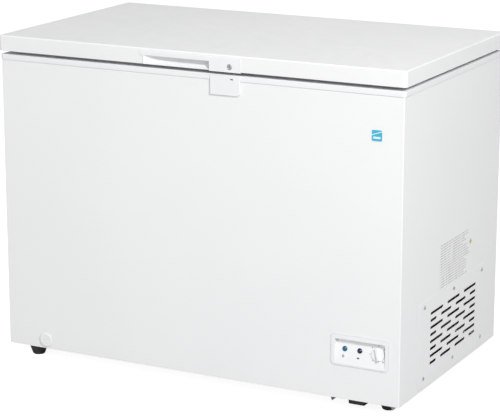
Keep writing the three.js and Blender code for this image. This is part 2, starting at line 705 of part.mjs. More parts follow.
function controlBezel() {
  const flange = frontSlab(roundRect(PANEL_X, PANEL_Z, PANEL_RADIUS), [FRONT - 1.8, FRONT - GAP]);
  const inset = PANEL_LAP + HOLE_PLAY;
  const body = frontSlab(
    roundRect(narrowed(PANEL_X, inset), narrowed(PANEL_Z, inset), PANEL_RADIUS - PANEL_LAP),
    [FRONT - 1, FRONT + 15],
  );
  const recess = outline([
    [FRONT - 4, FACE_Z[0]], [FRONT - 4, FACE_Z[1]], [FACE_Y[1], FACE_Z[1]], [FACE_Y[0], FACE_Z[0]],
  ]);
  const [low, high] = narrowed(FACE_Z, FACE_WALL);
  const behind = outline([
    [faceY(low) + FACE_WALL, low], [faceY(high) + FACE_WALL, high], [FRONT + 16, high], [FRONT + 16, low],
  ]);
  const drill = (radius) => turned([[0, -8], [radius, -8], [radius, 8], [0, 8]]);
  const holes = [
    ...LAMPS.map((x) => onFace(drill(LAMP_RADIUS + HOLE_PLAY), x, LAMP_Z)),
    onFace(drill(KNOB_STEM + HOLE_PLAY), ...KNOB),
  ];
  return cut(
    join(flange, body),
    sideSlab(recess, FACE_X),
    sideSlab(behind, narrowed(FACE_X, FACE_WALL)),
    ...holes,
  );
}
add('control_bezel', controlBezel(), FINISH.whitePlastic);

const LENS_PROFILE = [[0, -9], [LAMP_RADIUS, -9], [LAMP_RADIUS, 0.6], [5, 1.6], [0, 2.1]];
add('power_lamp', onFace(turned(LENS_PROFILE), LAMPS[0], LAMP_Z), FINISH.teal);
add('run_lamp', onFace(turned(LENS_PROFILE), LAMPS[1], LAMP_Z), FINISH.navy);

/** The knob: a skirt, a raised grip across it, and the stem into the thermostat. */
function thermostatKnob() {
  const skirt = turned([
    [0, -12], [KNOB_STEM, -12], [KNOB_STEM, 0.6], [KNOB_RADIUS, 0.6],
    [KNOB_RADIUS, 3.6], [KNOB_RADIUS - 1.4, 5], [0, 5],
  ], 28);
  const [width, length, height] = [9, 31, 4.2];
  const grip = new THREE.BoxGeometry(width, length, height).translate(0, 0, 4 + height / 2);
  grip.rotateZ(THREE.MathUtils.degToRad(17));
  return join(onFace(skirt, ...KNOB), onFace(grip, ...KNOB));
}
add('thermostat_knob', thermostatKnob(), FINISH.whitePlastic);
add('thermostat_body', block([475, 514], [FRONT + 18.6, FRONT + 48], [130, 170]), FINISH.blackRubber);

// ---- Labels ----
add('data_label', block([SIDE + GAP, SIDE + 2 * GAP], DATA_LABEL.y, DATA_LABEL.z), FINISH.whiteLabel);
add('blue_sticker', frontSlab(
  roundRect(STICKER.x, STICKER.z, STICKER.radius), [FRONT - 2 * GAP, FRONT - GAP],
), FINISH.blueLabel);

// ---- Strike plate under the lock ----
function strikePlate() {
  const { x: [left, right], bottom, cutCorner, proud } = STRIKE;
  const top = RIM_TOP - 0.5;
  const face = outline([
    [left, bottom], [right - cutCorner, bottom], [right, bottom + cutCorner], [right, top], [left, top],
  ]);
  const front = FRONT - proud;
  const plate = frontSlab(face, [front, FRONT - GAP]);
  const rimRoom = block([left - 9, right + 9], [FRONT - RIM_PROUD - GAP, FRONT + 1], [SHEET_TOP, RIM_TOP]);
  const keeper = block(KEEPER.x, [front - 1, FRONT + 1], KEEPER.z);
  return cut(plate, rimRoom, keeper);
}
add('strike_plate', strikePlate(), FINISH.whitePlastic);

// ---- Lid ----
const handleRoom = (grow) => block(
  [HANDLE_X[0] - grow, HANDLE_X[1] + grow],
  [-LID_Y - 5, HANDLE_BACK + grow],
  [LID_BOTTOM - 5, HANDLE_TOP + grow],
);

function lidSkin() {
  const whole = slab(roundRect(around(LID_X), around(LID_Y), LID_RADIUS), [LID_BOTTOM, LID_TOP], 5);
  const inside = slab(
    roundRect(around(LID_X - SHEET), around(LID_Y - SHEET), LID_RADIUS - SHEET),
    [LID_BOTTOM - 1, LID_TOP - SHEET],
    5,
  );
  return cut(whole, inside, handleRoom(GAP));
}

function lidLiner() {
  const z = [LINER_Z, LINER_Z + LID_LINER];
  const flange = slab(roundRect(...LID_INSIDE.map(around), LID_INSIDE_RADIUS), z);
  const plug = slab(roundRect(...PLUG.map(around), PLUG_RADIUS), [PLUG_BOTTOM, z[1]]);
  const inside = slab(
    roundRect(around(PLUG[0] - LID_LINER), around(PLUG[1] - LID_LINER), PLUG_RADIUS - 2),
    [PLUG_BOTTOM + LID_LINER, z[1] + 1],
  );
  return cut(join(flange, plug), inside, handleRoom(GAP));
}

function lidFoam() {
  const bottom = LINER_Z + LID_LINER + GAP;
  const margin = LID_LINER + GAP;
  const z = [bottom, LID_TOP - SHEET - GAP];
  const body = slab(roundRect(...LID_INSIDE.map(around), LID_INSIDE_RADIUS), z);
  const plug = slab(
    roundRect(around(PLUG[0] - margin), around(PLUG[1] - margin), PLUG_RADIUS - 2),
    [PLUG_BOTTOM + margin, bottom + 1],
  );
  return cut(join(body, plug), handleRoom(GAP));
}

/** The seal: a clamped foot under the lid and a softer bulb that lands on the rim. */
function lidGasket() {
  const band = (inset, z) => {
    const [x, y] = GASKET.map((half) => half - inset);
    const hole = GASKET_WIDTH - 2 * inset;
    return cut(
      slab(roundRect(around(x), around(y), 14), z),
      slab(roundRect(around(x - hole), around(y - hole), 6), [z[0] - 1, z[1] + 1]),
    );
  };
  const top = LINER_Z - GAP;
  const foot = band(0, [top - 3, top]);
  const neck = band(2.5, [RIM_TOP + 4, top - 2]);
  const bulb = band(0.8, [RIM_TOP + GAP, RIM_TOP + 4.6]);
  return join(foot, neck, bulb);
}

function handleInsert() {
  const y = [HANDLE_FRONT, HANDLE_BACK];
  const body = block(HANDLE_X, y, [LID_BOTTOM, HANDLE_TOP]);
  const lockBlock = block([LOCK_BLOCK_X, HANDLE_X[1]], y, [LID_BOTTOM - 2, LID_BOTTOM + 1]);
  const bar = block([HANDLE_BAR.x, HANDLE_X[1]], [HANDLE_FRONT, -LID_Y - GAP], HANDLE_BAR.z);
  const grip = outline([
    [HANDLE_X[0] + 2, HANDLE_FRONT - 1], [HANDLE_X[0] + 34, HANDLE_BACK - 4],
    [LOCK_BLOCK_X - 9, HANDLE_BACK - 4], [LOCK_BLOCK_X, HANDLE_BACK - 13], [LOCK_BLOCK_X, HANDLE_FRONT - 1],
  ]);
  const scoop = outline([
    [HANDLE_FRONT - 1, LID_BOTTOM + 1.2],
    ...POCKET_PROFILE.map(([depth, rise]) => [HANDLE_FRONT + depth, LID_BOTTOM + rise]),
    [HANDLE_FRONT - 1, LID_BOTTOM + 22],
  ]);
  const pocket = slab(grip, [LID_BOTTOM, HANDLE_BAR.z[0] + 0.5]).intersect(sideSlab(scoop, HANDLE_X));
  const tools = [
    pocket,
    rod([LOCK_X, HANDLE_FRONT - 2, LOCK_Z], [LOCK_X, CAM_Y[0], LOCK_Z], BARREL_RADIUS + 0.6, 16),
    block([LOCK_X - CAM_LENGTH - 4, LOCK_X + 8], [CAM_Y[0] - 1.1, CAM_Y[1] + 1.9], [LID_BOTTOM - 4, 820]),
  ];
  return cut(join(body, lockBlock, bar), ...tools);
}

add('lid_skin', lidSkin(), FINISH.whitePaint);
add('lid_liner', lidLiner(), FINISH.linerWhite);
add('lid_foam', lidFoam(), FINISH.foam);
add('lid_gasket', lidGasket(), FINISH.gasket);
add('handle_insert', handleInsert(), FINISH.whitePlastic);

// ---- Lock ----
const barrelFront = HANDLE_FRONT + 0.3;
const barrel = rod([LOCK_X, barrelFront, LOCK_Z], [LOCK_X, BARREL_BACK, LOCK_Z], BARREL_RADIUS, 16);
const keyway = block(
  [LOCK_X - 0.8, LOCK_X + 0.8], [barrelFront - 1, barrelFront + 4], [LOCK_Z - 3.6, LOCK_Z + 3.6],
);
add('lock_barrel', cut(barrel, keyway), FINISH.steel);
add('lock_cam', join(
  block([LOCK_X - CAM_LENGTH, LOCK_X], CAM_Y, [LOCK_Z - CAM_HALF, LOCK_Z + CAM_HALF]),
  rod([LOCK_X, CAM_Y[0], LOCK_Z], [LOCK_X, CAM_Y[1], LOCK_Z], CAM_HALF + 1.5, 16),
), FINISH.steel);

// ---- Hinges ----

/** A round hole through both cheeks of a hinge at its axis. */
const pinHole = (x) => rod([x - 40, HINGE_Y, HINGE_Z], [x + 40, HINGE_Y, HINGE_Z], PIN_HOLE, 16);

/** Both cheeks of a hinge part, from one outline in Y and Z. */
const cheekPair = (shape, x, half) => [-half, half - CHEEK].map((at) => (
  sideSlab(shape, [x + at, x + at + CHEEK], 6)
));

/** The channel on the cabinet's back that carries the pin and holds the spring. */
function hingeBase(x) {
  const foot = BACK + GAP;
  const { half, z: [low, high] } = HINGE_BASE;
  const cheek = new THREE.Shape();
  cheek.moveTo(foot, low);
  cheek.lineTo(HINGE_Y + 3, low);
  cheek.lineTo(HINGE_Y + HINGE_RADIUS, low + 16);
  cheek.lineTo(HINGE_Y + HINGE_RADIUS, HINGE_Z);
  cheek.absarc(HINGE_Y, HINGE_Z, HINGE_RADIUS, 0, Math.PI);
  cheek.lineTo(HINGE_Y - HINGE_RADIUS, high + 3.5);
  cheek.lineTo(foot + CHEEK, high);
  cheek.lineTo(foot, high);
  const plate = block([x - half, x + half], [foot, foot + CHEEK], [low, high]);
  const seat = block([x - half + 1, x + half - 1], [foot + 1, HINGE_Y + 6], [low + 4, low + 4 + CHEEK]);
  return cut(join(plate, seat, ...cheekPair(cheek, x, half)), pinHole(x));
}

/** The bracket on the lid's back edge that turns about the pin. */
function hingeArm(x) {
  const foot = LID_Y + GAP;
  const { half, z: [low, high] } = HINGE_ARM;
  const cheek = new THREE.Shape();
  cheek.moveTo(foot, high);
  cheek.lineTo(foot, HINGE_Z);
  cheek.absarc(HINGE_Y, HINGE_Z, HINGE_RADIUS - 0.5, Math.PI, 2 * Math.PI);
  cheek.lineTo(foot + 2 * CHEEK, high);
  const plate = block([x - half, x + half], [foot, foot + CHEEK], [low, high]);
  return cut(join(plate, ...cheekPair(cheek, x, half)), pinHole(x));
}

function hingePin(x) {
  const at = (dx) => [x + dx, HINGE_Y, HINGE_Z];
  const heads = [-PIN_HALF, PIN_HALF - PIN_HEAD].map((dx) => (
    rod(at(dx), at(dx + PIN_HEAD), PIN_RADIUS + 2, 16)
  ));
  return join(rod(at(GAP - PIN_HALF), at(PIN_HALF - GAP), PIN_RADIUS, 16), ...heads);
}

/** The spring that carries the lid's weight, standing in the hinge's channel. */
function hingeSpring(x) {
  const { radius, wire, y, z: [low, high], turns } = SPRING;
  const steps = 8;
  const points = Array.from({ length: turns * steps + 1 }, (_, i) => {
    const angle = (2 * Math.PI * i) / steps;
    const z = low + ((high - low) * i) / (turns * steps);
    return new THREE.Vector3(x + radius * Math.cos(angle), y + radius * Math.sin(angle), z);
  });
  return sweep(points, wire, 5);
}

for (const [side, x] of [['left', -HINGE_X], ['right', HINGE_X]]) {
  add(`hinge_base_${side}`, hingeBase(x), FINISH.galvanised);
  add(`hinge_arm_${side}`, hingeArm(x), FINISH.galvanised);
  add(`hinge_pin_${side}`, hingePin(x), FINISH.steel);
  add(`hinge_spring_${side}`, hingeSpring(x), FINISH.steel);
}

// ---- Basket ----

/** The coated wire basket: two families of bent wires, two frames, and four hooks. */
function wireBasket() {
  const { x, y, z, wire } = BASKET;
  const middle = (x[0] + x[1]) / 2;
  const halfX = (x[1] - x[0]) / 2 - wire;
  const halfY = y - wire;
  const nestle = 0.6 * wire;
  const wires = [];
  const spread = (count, half) => (
    Array.from({ length: count }, (_, i) => -half + (2 * half * (i + 1)) / (count + 1))
  );
  for (const at of spread(BASKET.lengthwise, halfX)) {
    const [lo, hi] = around(halfY);
    const corners = [[lo, z[1]], [lo, z[0]], [hi, z[0]], [hi, z[1]]];
    wires.push(bentRun(corners.map(([b, c]) => [middle + at, b, c]), BASKET.bend, 2));
  }
  for (const at of spread(BASKET.crosswise, halfY)) {
    const [lo, hi] = [middle - halfX, middle + halfX];
    const floor = z[0] + nestle;
    const corners = [[lo, z[1]], [lo, floor], [hi, floor], [hi, z[1]]];
    wires.push(bentRun(corners.map(([a, c]) => [a, at, c]), BASKET.bend, 2));
  }
  const frameX = [middle - halfX - wire, middle + halfX + wire];
  const frames = [z[0] + BASKET.lowFrame, z[1]].map((level) => {
    const band = [level - wire * 0.9, level + wire * 0.9];
    const inside = frameX.map((at, i) => at + (i ? -1 : 1) * 1.6 * wire);
    return cut(
      slab(roundRect(frameX, around(y), 8), band, 3),
      slab(roundRect(inside, around(y - 1.6 * wire), 4.5), [band[0] - 1, band[1] + 1], 3),
    );
  });
  for (const sideY of [-1, 1]) {
    for (const hookX of [middle - BASKET.hookSpread, middle + BASKET.hookSpread]) {
      wires.push(bentRun([
        [hookX, sideY * halfY, z[1] - 8],
        [hookX, sideY * halfY, LEDGE_Z + GAP + wire],
        [hookX, sideY * (RIM_LEDGE[1] - wire - 1), LEDGE_Z + GAP + wire],
      ], 4, 2));
    }
  }
  return join(...frames, ...wires.map((points) => sweep(points, wire, BASKET.wireSides)));
}
add('wire_basket', wireBasket(), FINISH.basketCoat);

export default freezer;
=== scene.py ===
"""Looks of the chest freezer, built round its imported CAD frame. Metres, +Z up, the front faces -Y."""
import json
import math

import bmesh
import bpy
from mathutils import Matrix, Vector
from mathutils.geometry import tessellate_polygon

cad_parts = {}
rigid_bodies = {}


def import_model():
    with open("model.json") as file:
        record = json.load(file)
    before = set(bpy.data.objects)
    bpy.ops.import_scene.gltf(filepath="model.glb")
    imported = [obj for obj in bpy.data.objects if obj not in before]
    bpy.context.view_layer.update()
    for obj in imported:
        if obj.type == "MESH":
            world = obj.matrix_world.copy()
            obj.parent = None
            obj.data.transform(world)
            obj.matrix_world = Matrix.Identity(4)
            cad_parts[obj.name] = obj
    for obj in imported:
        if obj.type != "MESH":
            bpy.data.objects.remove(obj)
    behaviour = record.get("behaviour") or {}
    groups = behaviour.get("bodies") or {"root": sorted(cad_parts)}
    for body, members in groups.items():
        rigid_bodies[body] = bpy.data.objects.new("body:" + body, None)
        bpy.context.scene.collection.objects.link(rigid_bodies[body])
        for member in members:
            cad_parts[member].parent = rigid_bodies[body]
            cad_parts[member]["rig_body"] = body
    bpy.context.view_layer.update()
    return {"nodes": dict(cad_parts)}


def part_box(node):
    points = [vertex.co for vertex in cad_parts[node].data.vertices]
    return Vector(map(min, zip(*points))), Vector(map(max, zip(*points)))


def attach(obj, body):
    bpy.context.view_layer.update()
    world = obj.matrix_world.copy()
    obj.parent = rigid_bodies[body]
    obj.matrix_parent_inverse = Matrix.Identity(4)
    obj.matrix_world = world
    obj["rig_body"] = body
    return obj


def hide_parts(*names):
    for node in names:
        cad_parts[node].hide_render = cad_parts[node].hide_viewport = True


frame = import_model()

# ---- Driving places, read from the frame ----
WRAP_LO, WRAP_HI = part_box("outer_wrap")
RIM_LO, RIM_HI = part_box("top_rim")
LID_LO, LID_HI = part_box("lid_skin")
LINER_LO, LINER_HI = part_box("inner_liner")
SIDE = WRAP_HI.x
FRONT = WRAP_LO.y
BACK = WRAP_HI.y
MID_Y = (FRONT + BACK) / 2
SHEET = 0.0012
FIT = 0.0003

TOWARDS_FRONT = Vector((0, -1, 0))
TOWARDS_BACK = Vector((0, 1, 0))
TOWARDS_RIGHT = Vector((1, 0, 0))


# ---- Finishes ----

class Finish:
    """Builds a procedural material whose patterns stay fixed to the object, in metres."""

    def __init__(self, name, colour, roughness, metallic=0.0, **uniform):
        self.material = bpy.data.materials.new("look_" + name)
        self.material.use_nodes = True
        self.tree = self.material.node_tree
        self.shader = next(n for n in self.tree.nodes if n.type == "BSDF_PRINCIPLED")
        self.colour = (*colour, 1.0)
        self.shader.inputs["Base Color"].default_value = self.colour
        self.shader.inputs["Roughness"].default_value = roughness
        self.shader.inputs["Metallic"].default_value = metallic
        for socket, value in uniform.items():
            self.shader.inputs[socket.replace("_", " ")].default_value = value
        self.normal = None
        self.place = self.add("ShaderNodeTexCoord").outputs["Object"]

    def add(self, kind, **inputs):
        node = self.tree.nodes.new(kind)
        for name, value in inputs.items():
            self.feed(node.inputs[name.replace("_", " ")], value)
        return node

    def feed(self, socket, value):
        if isinstance(value, bpy.types.NodeSocket):
            self.tree.links.new(value, socket)
        else:
            socket.default_value = value

    def noise(self, scale, detail=2.0, stretch=(1, 1, 1)):
        """Soft noise with so many waves in a metre, stretched along the axes if wanted."""
        vector = self.add("ShaderNodeMapping", Vector=self.place, Scale=stretch).outputs["Vector"]
        return self.add("ShaderNodeTexNoise", Vector=vector, Scale=scale, Detail=detail).outputs["Fac"]

    def cells(self, scale, output="Distance"):
        return self.add("ShaderNodeTexVoronoi", Vector=self.place, Scale=scale).outputs[output]

    def ranged(self, value, low, high, start=0.35, end=0.65):
        """Maps start..end of a value to low..high."""
        node = self.add("ShaderNodeMapRange", Value=value)
        for i, limit in enumerate((start, end, low, high)):
            node.inputs[1 + i].default_value = limit
        return node.outputs["Result"]

    def math(self, operation, a, b=0.0):
        node = self.tree.nodes.new("ShaderNodeMath")
        node.operation = operation
        self.feed(node.inputs[0], a)
        self.feed(node.inputs[1], b)
        return node.outputs["Value"]

    def between(self, value, low, high):
        """1 where the value lies between two limits, else 0."""
        above = self.math("GREATER_THAN", value, low)
        below = self.math("LESS_THAN", value, high)
        return self.math("MULTIPLY", above, below)

    def tint(self, share, other):
        """Lets the colour go over to another one by a share from 0 to 1."""
        mix = self.tree.nodes.new("ShaderNodeMix")
        mix.data_type = "RGBA"
        self.feed(mix.inputs[0], share)
        self.feed(mix.inputs[6], self.colour)
        self.feed(mix.inputs[7], (*other, 1.0))
        self.colour = mix.outputs[2]
        self.feed(self.shader.inputs["Base Color"], self.colour)

    def cloud(self, scale, detail, other):
        """Lets the colour go over to another one in soft patches."""
        self.tint(self.ranged(self.noise(scale, detail), 0, 1), other)

    def rough(self, value, low, high, start=0.35, end=0.65):
        self.feed(self.shader.inputs["Roughness"], self.ranged(value, low, high, start, end))

    def bump(self, height, distance):
        """Raises the surface by so many metres at a height of 1."""
        node = self.add("ShaderNodeBump", Height=height, Distance=distance, Strength=1.0)
        if self.normal is not None:
            self.feed(node.inputs["Normal"], self.normal)
        self.normal = node.outputs["Normal"]
        self.feed(self.shader.inputs["Normal"], self.normal)

    def axis(self, name):
        return self.add("ShaderNodeSeparateXYZ", Vector=self.place).outputs[name]


def white_paint():
    """Baked powder paint on sheet steel: fine orange peel over very slight waves of the sheet."""
    f = Finish("white_paint", (0.86, 0.865, 0.865), 0.46, Specular_IOR_Level=0.35)
    f.cloud(2.2, 2, (0.84, 0.846, 0.848))
    f.rough(f.noise(30, 3), 0.42, 0.52)
    f.bump(f.noise(5, 1), 0.0003)
    f.bump(f.noise(650, 2), 0.000012)
    return f


def white_plastic():
    """Injection-moulded white plastic with a fine eroded grain."""
    f = Finish("white_plastic", (0.85, 0.857, 0.862), 0.44)
    f.cloud(9, 2, (0.835, 0.843, 0.85))
    f.rough(f.noise(60, 2), 0.4, 0.5)
    f.bump(f.noise(1600, 2), 0.000008)
    return f


def liner_white():
    """Painted aluminium sheet with a stucco emboss."""
    f = Finish("liner_white", (0.8, 0.815, 0.82), 0.4, metallic=0.15)
    f.cloud(4, 2, (0.77, 0.79, 0.8))
    f.rough(f.noise(50), 0.34, 0.46)
    f.bump(f.ranged(f.noise(170, 1), 0, 1, 0.4, 0.6), 0.00016)
    return f


def galvanised():
    """Zinc-coated steel: spangle cells of different brightness and gloss."""
    f = Finish("galvanised", (0.46, 0.47, 0.48), 0.42, metallic=0.8)
    spangle = f.add("ShaderNodeSeparateColor", Color=f.cells(75, "Color")).outputs[0]
    f.tint(f.ranged(spangle, 0, 1, 0, 1), (0.6, 0.61, 0.62))
    f.tint(f.ranged(f.noise(14, 4), 0, 0.35), (0.36, 0.365, 0.37))
    f.rough(spangle, 0.34, 0.52, 0, 1)
    f.bump(f.noise(500, 2), 0.00001)
    return f


def foam():
    """Rigid foam with a rough skin of small open cells, with painted shade in the pits of the cells."""
    f = Finish("foam", (0.72, 0.6, 0.33), 0.92)
    f.cloud(18, 4, (0.62, 0.49, 0.25))
    # painted shade: the colour darkens towards the middle of each cell, where the bump below sinks into a
    # pit
    f.tint(f.ranged(f.cells(420), 0.35, 0, 0, 0.35), (0.4, 0.3, 0.15))
    f.bump(f.cells(420), 0.0003)
    return f


def gasket_grey():
    """Soft grey vinyl with a dull, slightly uneven skin."""
    f = Finish("gasket_grey", (0.5, 0.51, 0.515), 0.7)
    f.cloud(40, 3, (0.44, 0.45, 0.455))
    f.rough(f.noise(90), 0.62, 0.78)
    f.bump(f.noise(900, 2), 0.00002)
    return f


def black_rubber():
    """Black rubber with pale dusty patches."""
    f = Finish("black_rubber", (0.018, 0.018, 0.02), 0.66)
    f.cloud(60, 4, (0.035, 0.035, 0.037))
    f.tint(f.ranged(f.noise(350, 3), 0, 0.5, 0.6, 0.8), (0.09, 0.09, 0.09))
    f.rough(f.noise(120, 3), 0.52, 0.78)
    f.bump(f.noise(1100, 3), 0.00004)
    return f


def black_paint():
    """Thick stoved paint on the compressor's shell."""
    f = Finish("black_paint", (0.012, 0.012, 0.014), 0.34, Coat_Weight=0.3, Coat_Roughness=0.3)
    f.cloud(35, 4, (0.03, 0.03, 0.032))
    f.rough(f.noise(80, 3), 0.28, 0.46)
    f.bump(f.noise(260, 2), 0.00006)
    return f


def copper():
    """Drawn copper tube with darker, duller patches."""
    f = Finish("copper", (0.72, 0.34, 0.18), 0.3, metallic=1.0)
    f.cloud(45, 5, (0.4, 0.18, 0.1))
    f.rough(f.noise(90, 3), 0.24, 0.48)
    f.bump(f.noise(700, 2), 0.00001)
    return f


def steel():
    """Plated steel with fine drawing lines."""
    f = Finish("steel", (0.68, 0.69, 0.7), 0.3, metallic=1.0)
    f.cloud(30, 4, (0.54, 0.545, 0.55))
    lines = f.noise(300, 3, (1, 1, 12))
    f.rough(lines, 0.22, 0.38)
    f.bump(lines, 0.000006)
    return f


def basket_coat():
    """White plastic dip coating, a little uneven along the wires."""
    f = Finish("basket_coat", (0.82, 0.825, 0.83), 0.3, Coat_Weight=0.2, Coat_Roughness=0.15)
    f.cloud(25, 2, (0.78, 0.79, 0.8))
    f.rough(f.noise(60), 0.26, 0.38)
    f.bump(f.noise(140, 1), 0.00012)
    return f


def lens(name, colour, deep):
    """A tinted clear lens, darker in cloudy patches behind its gloss."""
    f = Finish(name, colour, 0.3, Coat_Weight=0.25, Coat_Roughness=0.2)
    f.cloud(420, 2, deep)
    f.rough(f.noise(500), 0.24, 0.4)
    return f


def lamp_teal():
    return lens("lamp_teal", (0.01, 0.16, 0.27), (0.005, 0.09, 0.2))


def lamp_navy():
    return lens("lamp_navy", (0.016, 0.014, 0.11), (0.006, 0.006, 0.05))


def label_white():
    """A film label: grey bars in rows as a stand-in for print, and one plain ochre mark."""
    lo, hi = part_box("data_label")
    rows, margin = 17, 0.003
    pitch = (hi.z - lo.z - 2 * margin) / rows
    f = Finish("label_white", (0.86, 0.865, 0.865), 0.38)
    y, z = f.axis("Y"), f.axis("Z")
    down = f.math("DIVIDE", f.math("SUBTRACT", hi.z - margin, z), pitch)
    row = f.math("FLOOR", down)
    part = f.math("FRACT", down)
    chance = f.add("ShaderNodeTexWhiteNoise", Vector=f.add("ShaderNodeCombineXYZ", X=row).outputs[0])
    shortest, longest = lo.y + 0.15, hi.y - 0.008
    end = f.ranged(chance.outputs["Value"], shortest, longest, 0, 1)
    bars = f.math("MULTIPLY", f.between(part, 0.3, 0.68), f.between(y, lo.y + margin, end))
    inside = f.between(down, 0, rows)
    broken = f.ranged(f.noise(260, 1, (1, 1, 0.05)), 0.25, 0.8, 0.42, 0.5)
    f.tint(f.math("MULTIPLY", f.math("MULTIPLY", bars, inside), broken), (0.42, 0.42, 0.43))
    mark_y, mark_z, mark_size = hi.y - 0.014, hi.z - 0.04, 0.008
    across = f.math("ABSOLUTE", f.math("SUBTRACT", y, mark_y))
    up = f.math("ABSOLUTE", f.math("SUBTRACT", z, mark_z))
    mark = f.math("LESS_THAN", f.math("ADD", across, up), mark_size)
    f.tint(mark, (0.55, 0.45, 0.12))
    f.rough(f.noise(200), 0.36, 0.5)
    f.bump(f.noise(900), 0.000006)
    return f


def label_blue():
    """A square sticker: blue, with a pale band low down and a thin slanting line over it."""
    lo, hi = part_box("blue_sticker")
    f = Finish("label_blue", (0.035, 0.42, 0.62), 0.35)
    x, z = f.axis("X"), f.axis("Z")
    f.tint(f.ranged(f.noise(300, 2), 0, 0.5), (0.06, 0.48, 0.68))
    margin, band_low, band_high = 0.004, 0.0055, 0.0105
    rows = f.between(z, lo.z + band_low, lo.z + band_high)
    band = f.math("MULTIPLY", rows, f.between(x, lo.x + margin, hi.x - margin))
    f.tint(band, (0.75, 0.85, 0.9))
    slope, start, half_width = 0.35, 0.014, 0.0012
    rise = f.math("MULTIPLY", f.math("SUBTRACT", x, lo.x), slope)
    sweep = f.math("SUBTRACT", rise, f.math("SUBTRACT", z, lo.z + start))
    f.tint(f.between(sweep, -half_width, half_width), (0.6, 0.8, 0.9))
    f.rough(f.noise(250), 0.3, 0.42)
    return f


def print_grey():
    """The ink of the panel's marks."""
    f = Finish("print_grey", (0.04, 0.04, 0.045), 0.5)
    f.cloud(900, 2, (0.08, 0.08, 0.085))
    f.rough(f.noise(700), 0.44, 0.6)
    return f


FINISHES = {make.__name__: make() for make in (
    white_paint, white_plastic, liner_white, galvanised, foam, gasket_grey, black_rubber,
    black_paint, copper, steel, basket_coat, lamp_teal, lamp_navy, label_white, label_blue,
    print_grey,
)}


# ---- Mesh tools ----

def facing(point, direction, turn=0.0):
    """A frame at a point whose +Z looks along a direction, with +Y as far up as it can be."""
    spin = Vector(direction).to_track_quat("Z", "Y").to_matrix().to_4x4()
    return Matrix.Translation(point) @ spin @ Matrix.Rotation(turn, 4, "Z")


def put(bm, place):
    bm.transform(place)
    return bm


def middle_of(node):
    """The middle of a CAD node's box."""
    lo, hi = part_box(node)
    return Vector(((lo.x + hi.x) / 2, (lo.y + hi.y) / 2, (lo.z + hi.z) / 2))


def rounded(half_a, half_b, radius, steps=8, centre=(0.0, 0.0)):
    """A rectangle with round corners, counter-clockwise."""
    points = []
    for corner, (sa, sb) in enumerate(((1, -1), (1, 1), (-1, 1), (-1, -1))):
        for k in range(steps + 1):
            angle = (corner - 1 + k / steps) * math.pi / 2
            points.append(Vector((
                centre[0] + sa * (half_a - radius) + radius * math.cos(angle),
                centre[1] + sb * (half_b - radius) + radius * math.sin(angle),
            )))
    return points


def circle(radius, steps=24, centre=(0.0, 0.0)):
    turn = 2 * math.pi / steps
    return [Vector((centre[0] + radius * math.cos(i * turn), centre[1] + radius * math.sin(i * turn)))
            for i in range(steps)]


def level(outline, z):
    """An outline in X and Y laid at a height."""
    return [(p[0], p[1], z) for p in outline]


def round_loop(half_x, half_y, corner, z, steps=10):
    """A round-cornered rectangle about the cabinet's middle, laid at a height."""
    return level(rounded(half_x, half_y, corner, steps, (0, MID_Y)), z)


def loft(loops, closed=False):
    """A skin over loops of equally many points, capped at both ends or closed on itself."""
    bm = bmesh.new()
    rings = [[bm.verts.new(p) for p in loop] for loop in loops]
    for a, b in zip(rings, rings[1:] + ([rings[0]] if closed else [])):
        for i, here in enumerate(a):
            j = (i + 1) % len(a)
            bm.faces.new((here, a[j], b[j], b[i]))
    if not closed:
        bm.faces.new(list(reversed(rings[0])))
        bm.faces.new(rings[-1])
    bmesh.ops.recalc_face_normals(bm, faces=bm.faces)
    return bm


def lathe(profile, sides=48, closed=False, flutes=0, depth=0.0, fluted=()):
    """A profile of radius and height turned about +Z. Points numbered in fluted get grooves."""
    bm = bmesh.new()
    rings = []
    for k, (radius, height) in enumerate(profile):
        if radius <= 0:
            rings.append([bm.verts.new((0, 0, height))])
            continue
        ring = []
        for i in range(sides):
            angle = 2 * math.pi * i / sides
            r = radius - (depth * (0.5 + 0.5 * math.cos(flutes * angle)) if k in fluted else 0)
            ring.append(bm.verts.new((r * math.cos(angle), r * math.sin(angle), height)))
        rings.append(ring)
    for a, b in zip(rings, rings[1:] + ([rings[0]] if closed else [])):
        for i in range(sides):
            j = (i + 1) % sides
            corners = [a[i % len(a)], a[j % len(a)], b[j % len(b)], b[i % len(b)]]
            bm.faces.new(list(dict.fromkeys(corners)))
    bmesh.ops.recalc_face_normals(bm, faces=bm.faces)
    return bm


def shifted(points, by):
    """A closed outline moved to its left by a distance, which is inwards if counter-clockwise."""
    moved = []
    for i, here in enumerate(points):
        before = (here - points[i - 1]).normalized()
        after = (points[(i + 1) % len(points)] - here).normalized()
        left = Vector((-before.y - after.y, before.x + after.x)).normalized()
        moved.append(here + left * (by / max(0.4, left.dot(Vector((-after.y, after.x))))))
    return moved


def plain_faces(bm):
    """Joins the faces that lie in one plane."""
    bmesh.ops.dissolve_limit(
        bm, angle_limit=math.radians(0.5), verts=bm.verts, edges=bm.edges,
        use_dissolve_boundaries=False,
    )
    return bm


def plate(outline, thickness, edge, holes=()):
    """A flat plate with rounded edges, drawn in X and Y, from z 0 up to its thickness."""
    bm = bmesh.new()
    lower = [(edge * (1 - math.sin(a)), edge * (1 - math.cos(a))) for a in quarter(2)]
    levels = lower + [(inset, thickness - z) for inset, z in reversed(lower)]
    contours = [list(outline)] + [list(reversed(hole)) for hole in holes]
    skins = []
    for contour in contours:
        rings = [[bm.verts.new((p.x, p.y, z)) for p in shifted(contour, inset)] for inset, z in levels]
        for a, b in zip(rings, rings[1:]):
            for i in range(len(a)):
                j = (i + 1) % len(a)
                bm.faces.new((a[i], a[j], b[j], b[i]))
        skins.append((rings[0], rings[-1]))
    for end in (0, 1):
        loops = [skin[end] for skin in skins]
        flat = [v for loop in loops for v in loop]
        for triangle in tessellate_polygon([[v.co for v in loop] for loop in loops]):
            bm.faces.new([flat[i] for i in triangle])
    bmesh.ops.recalc_face_normals(bm, faces=bm.faces)
    return plain_faces(bm)


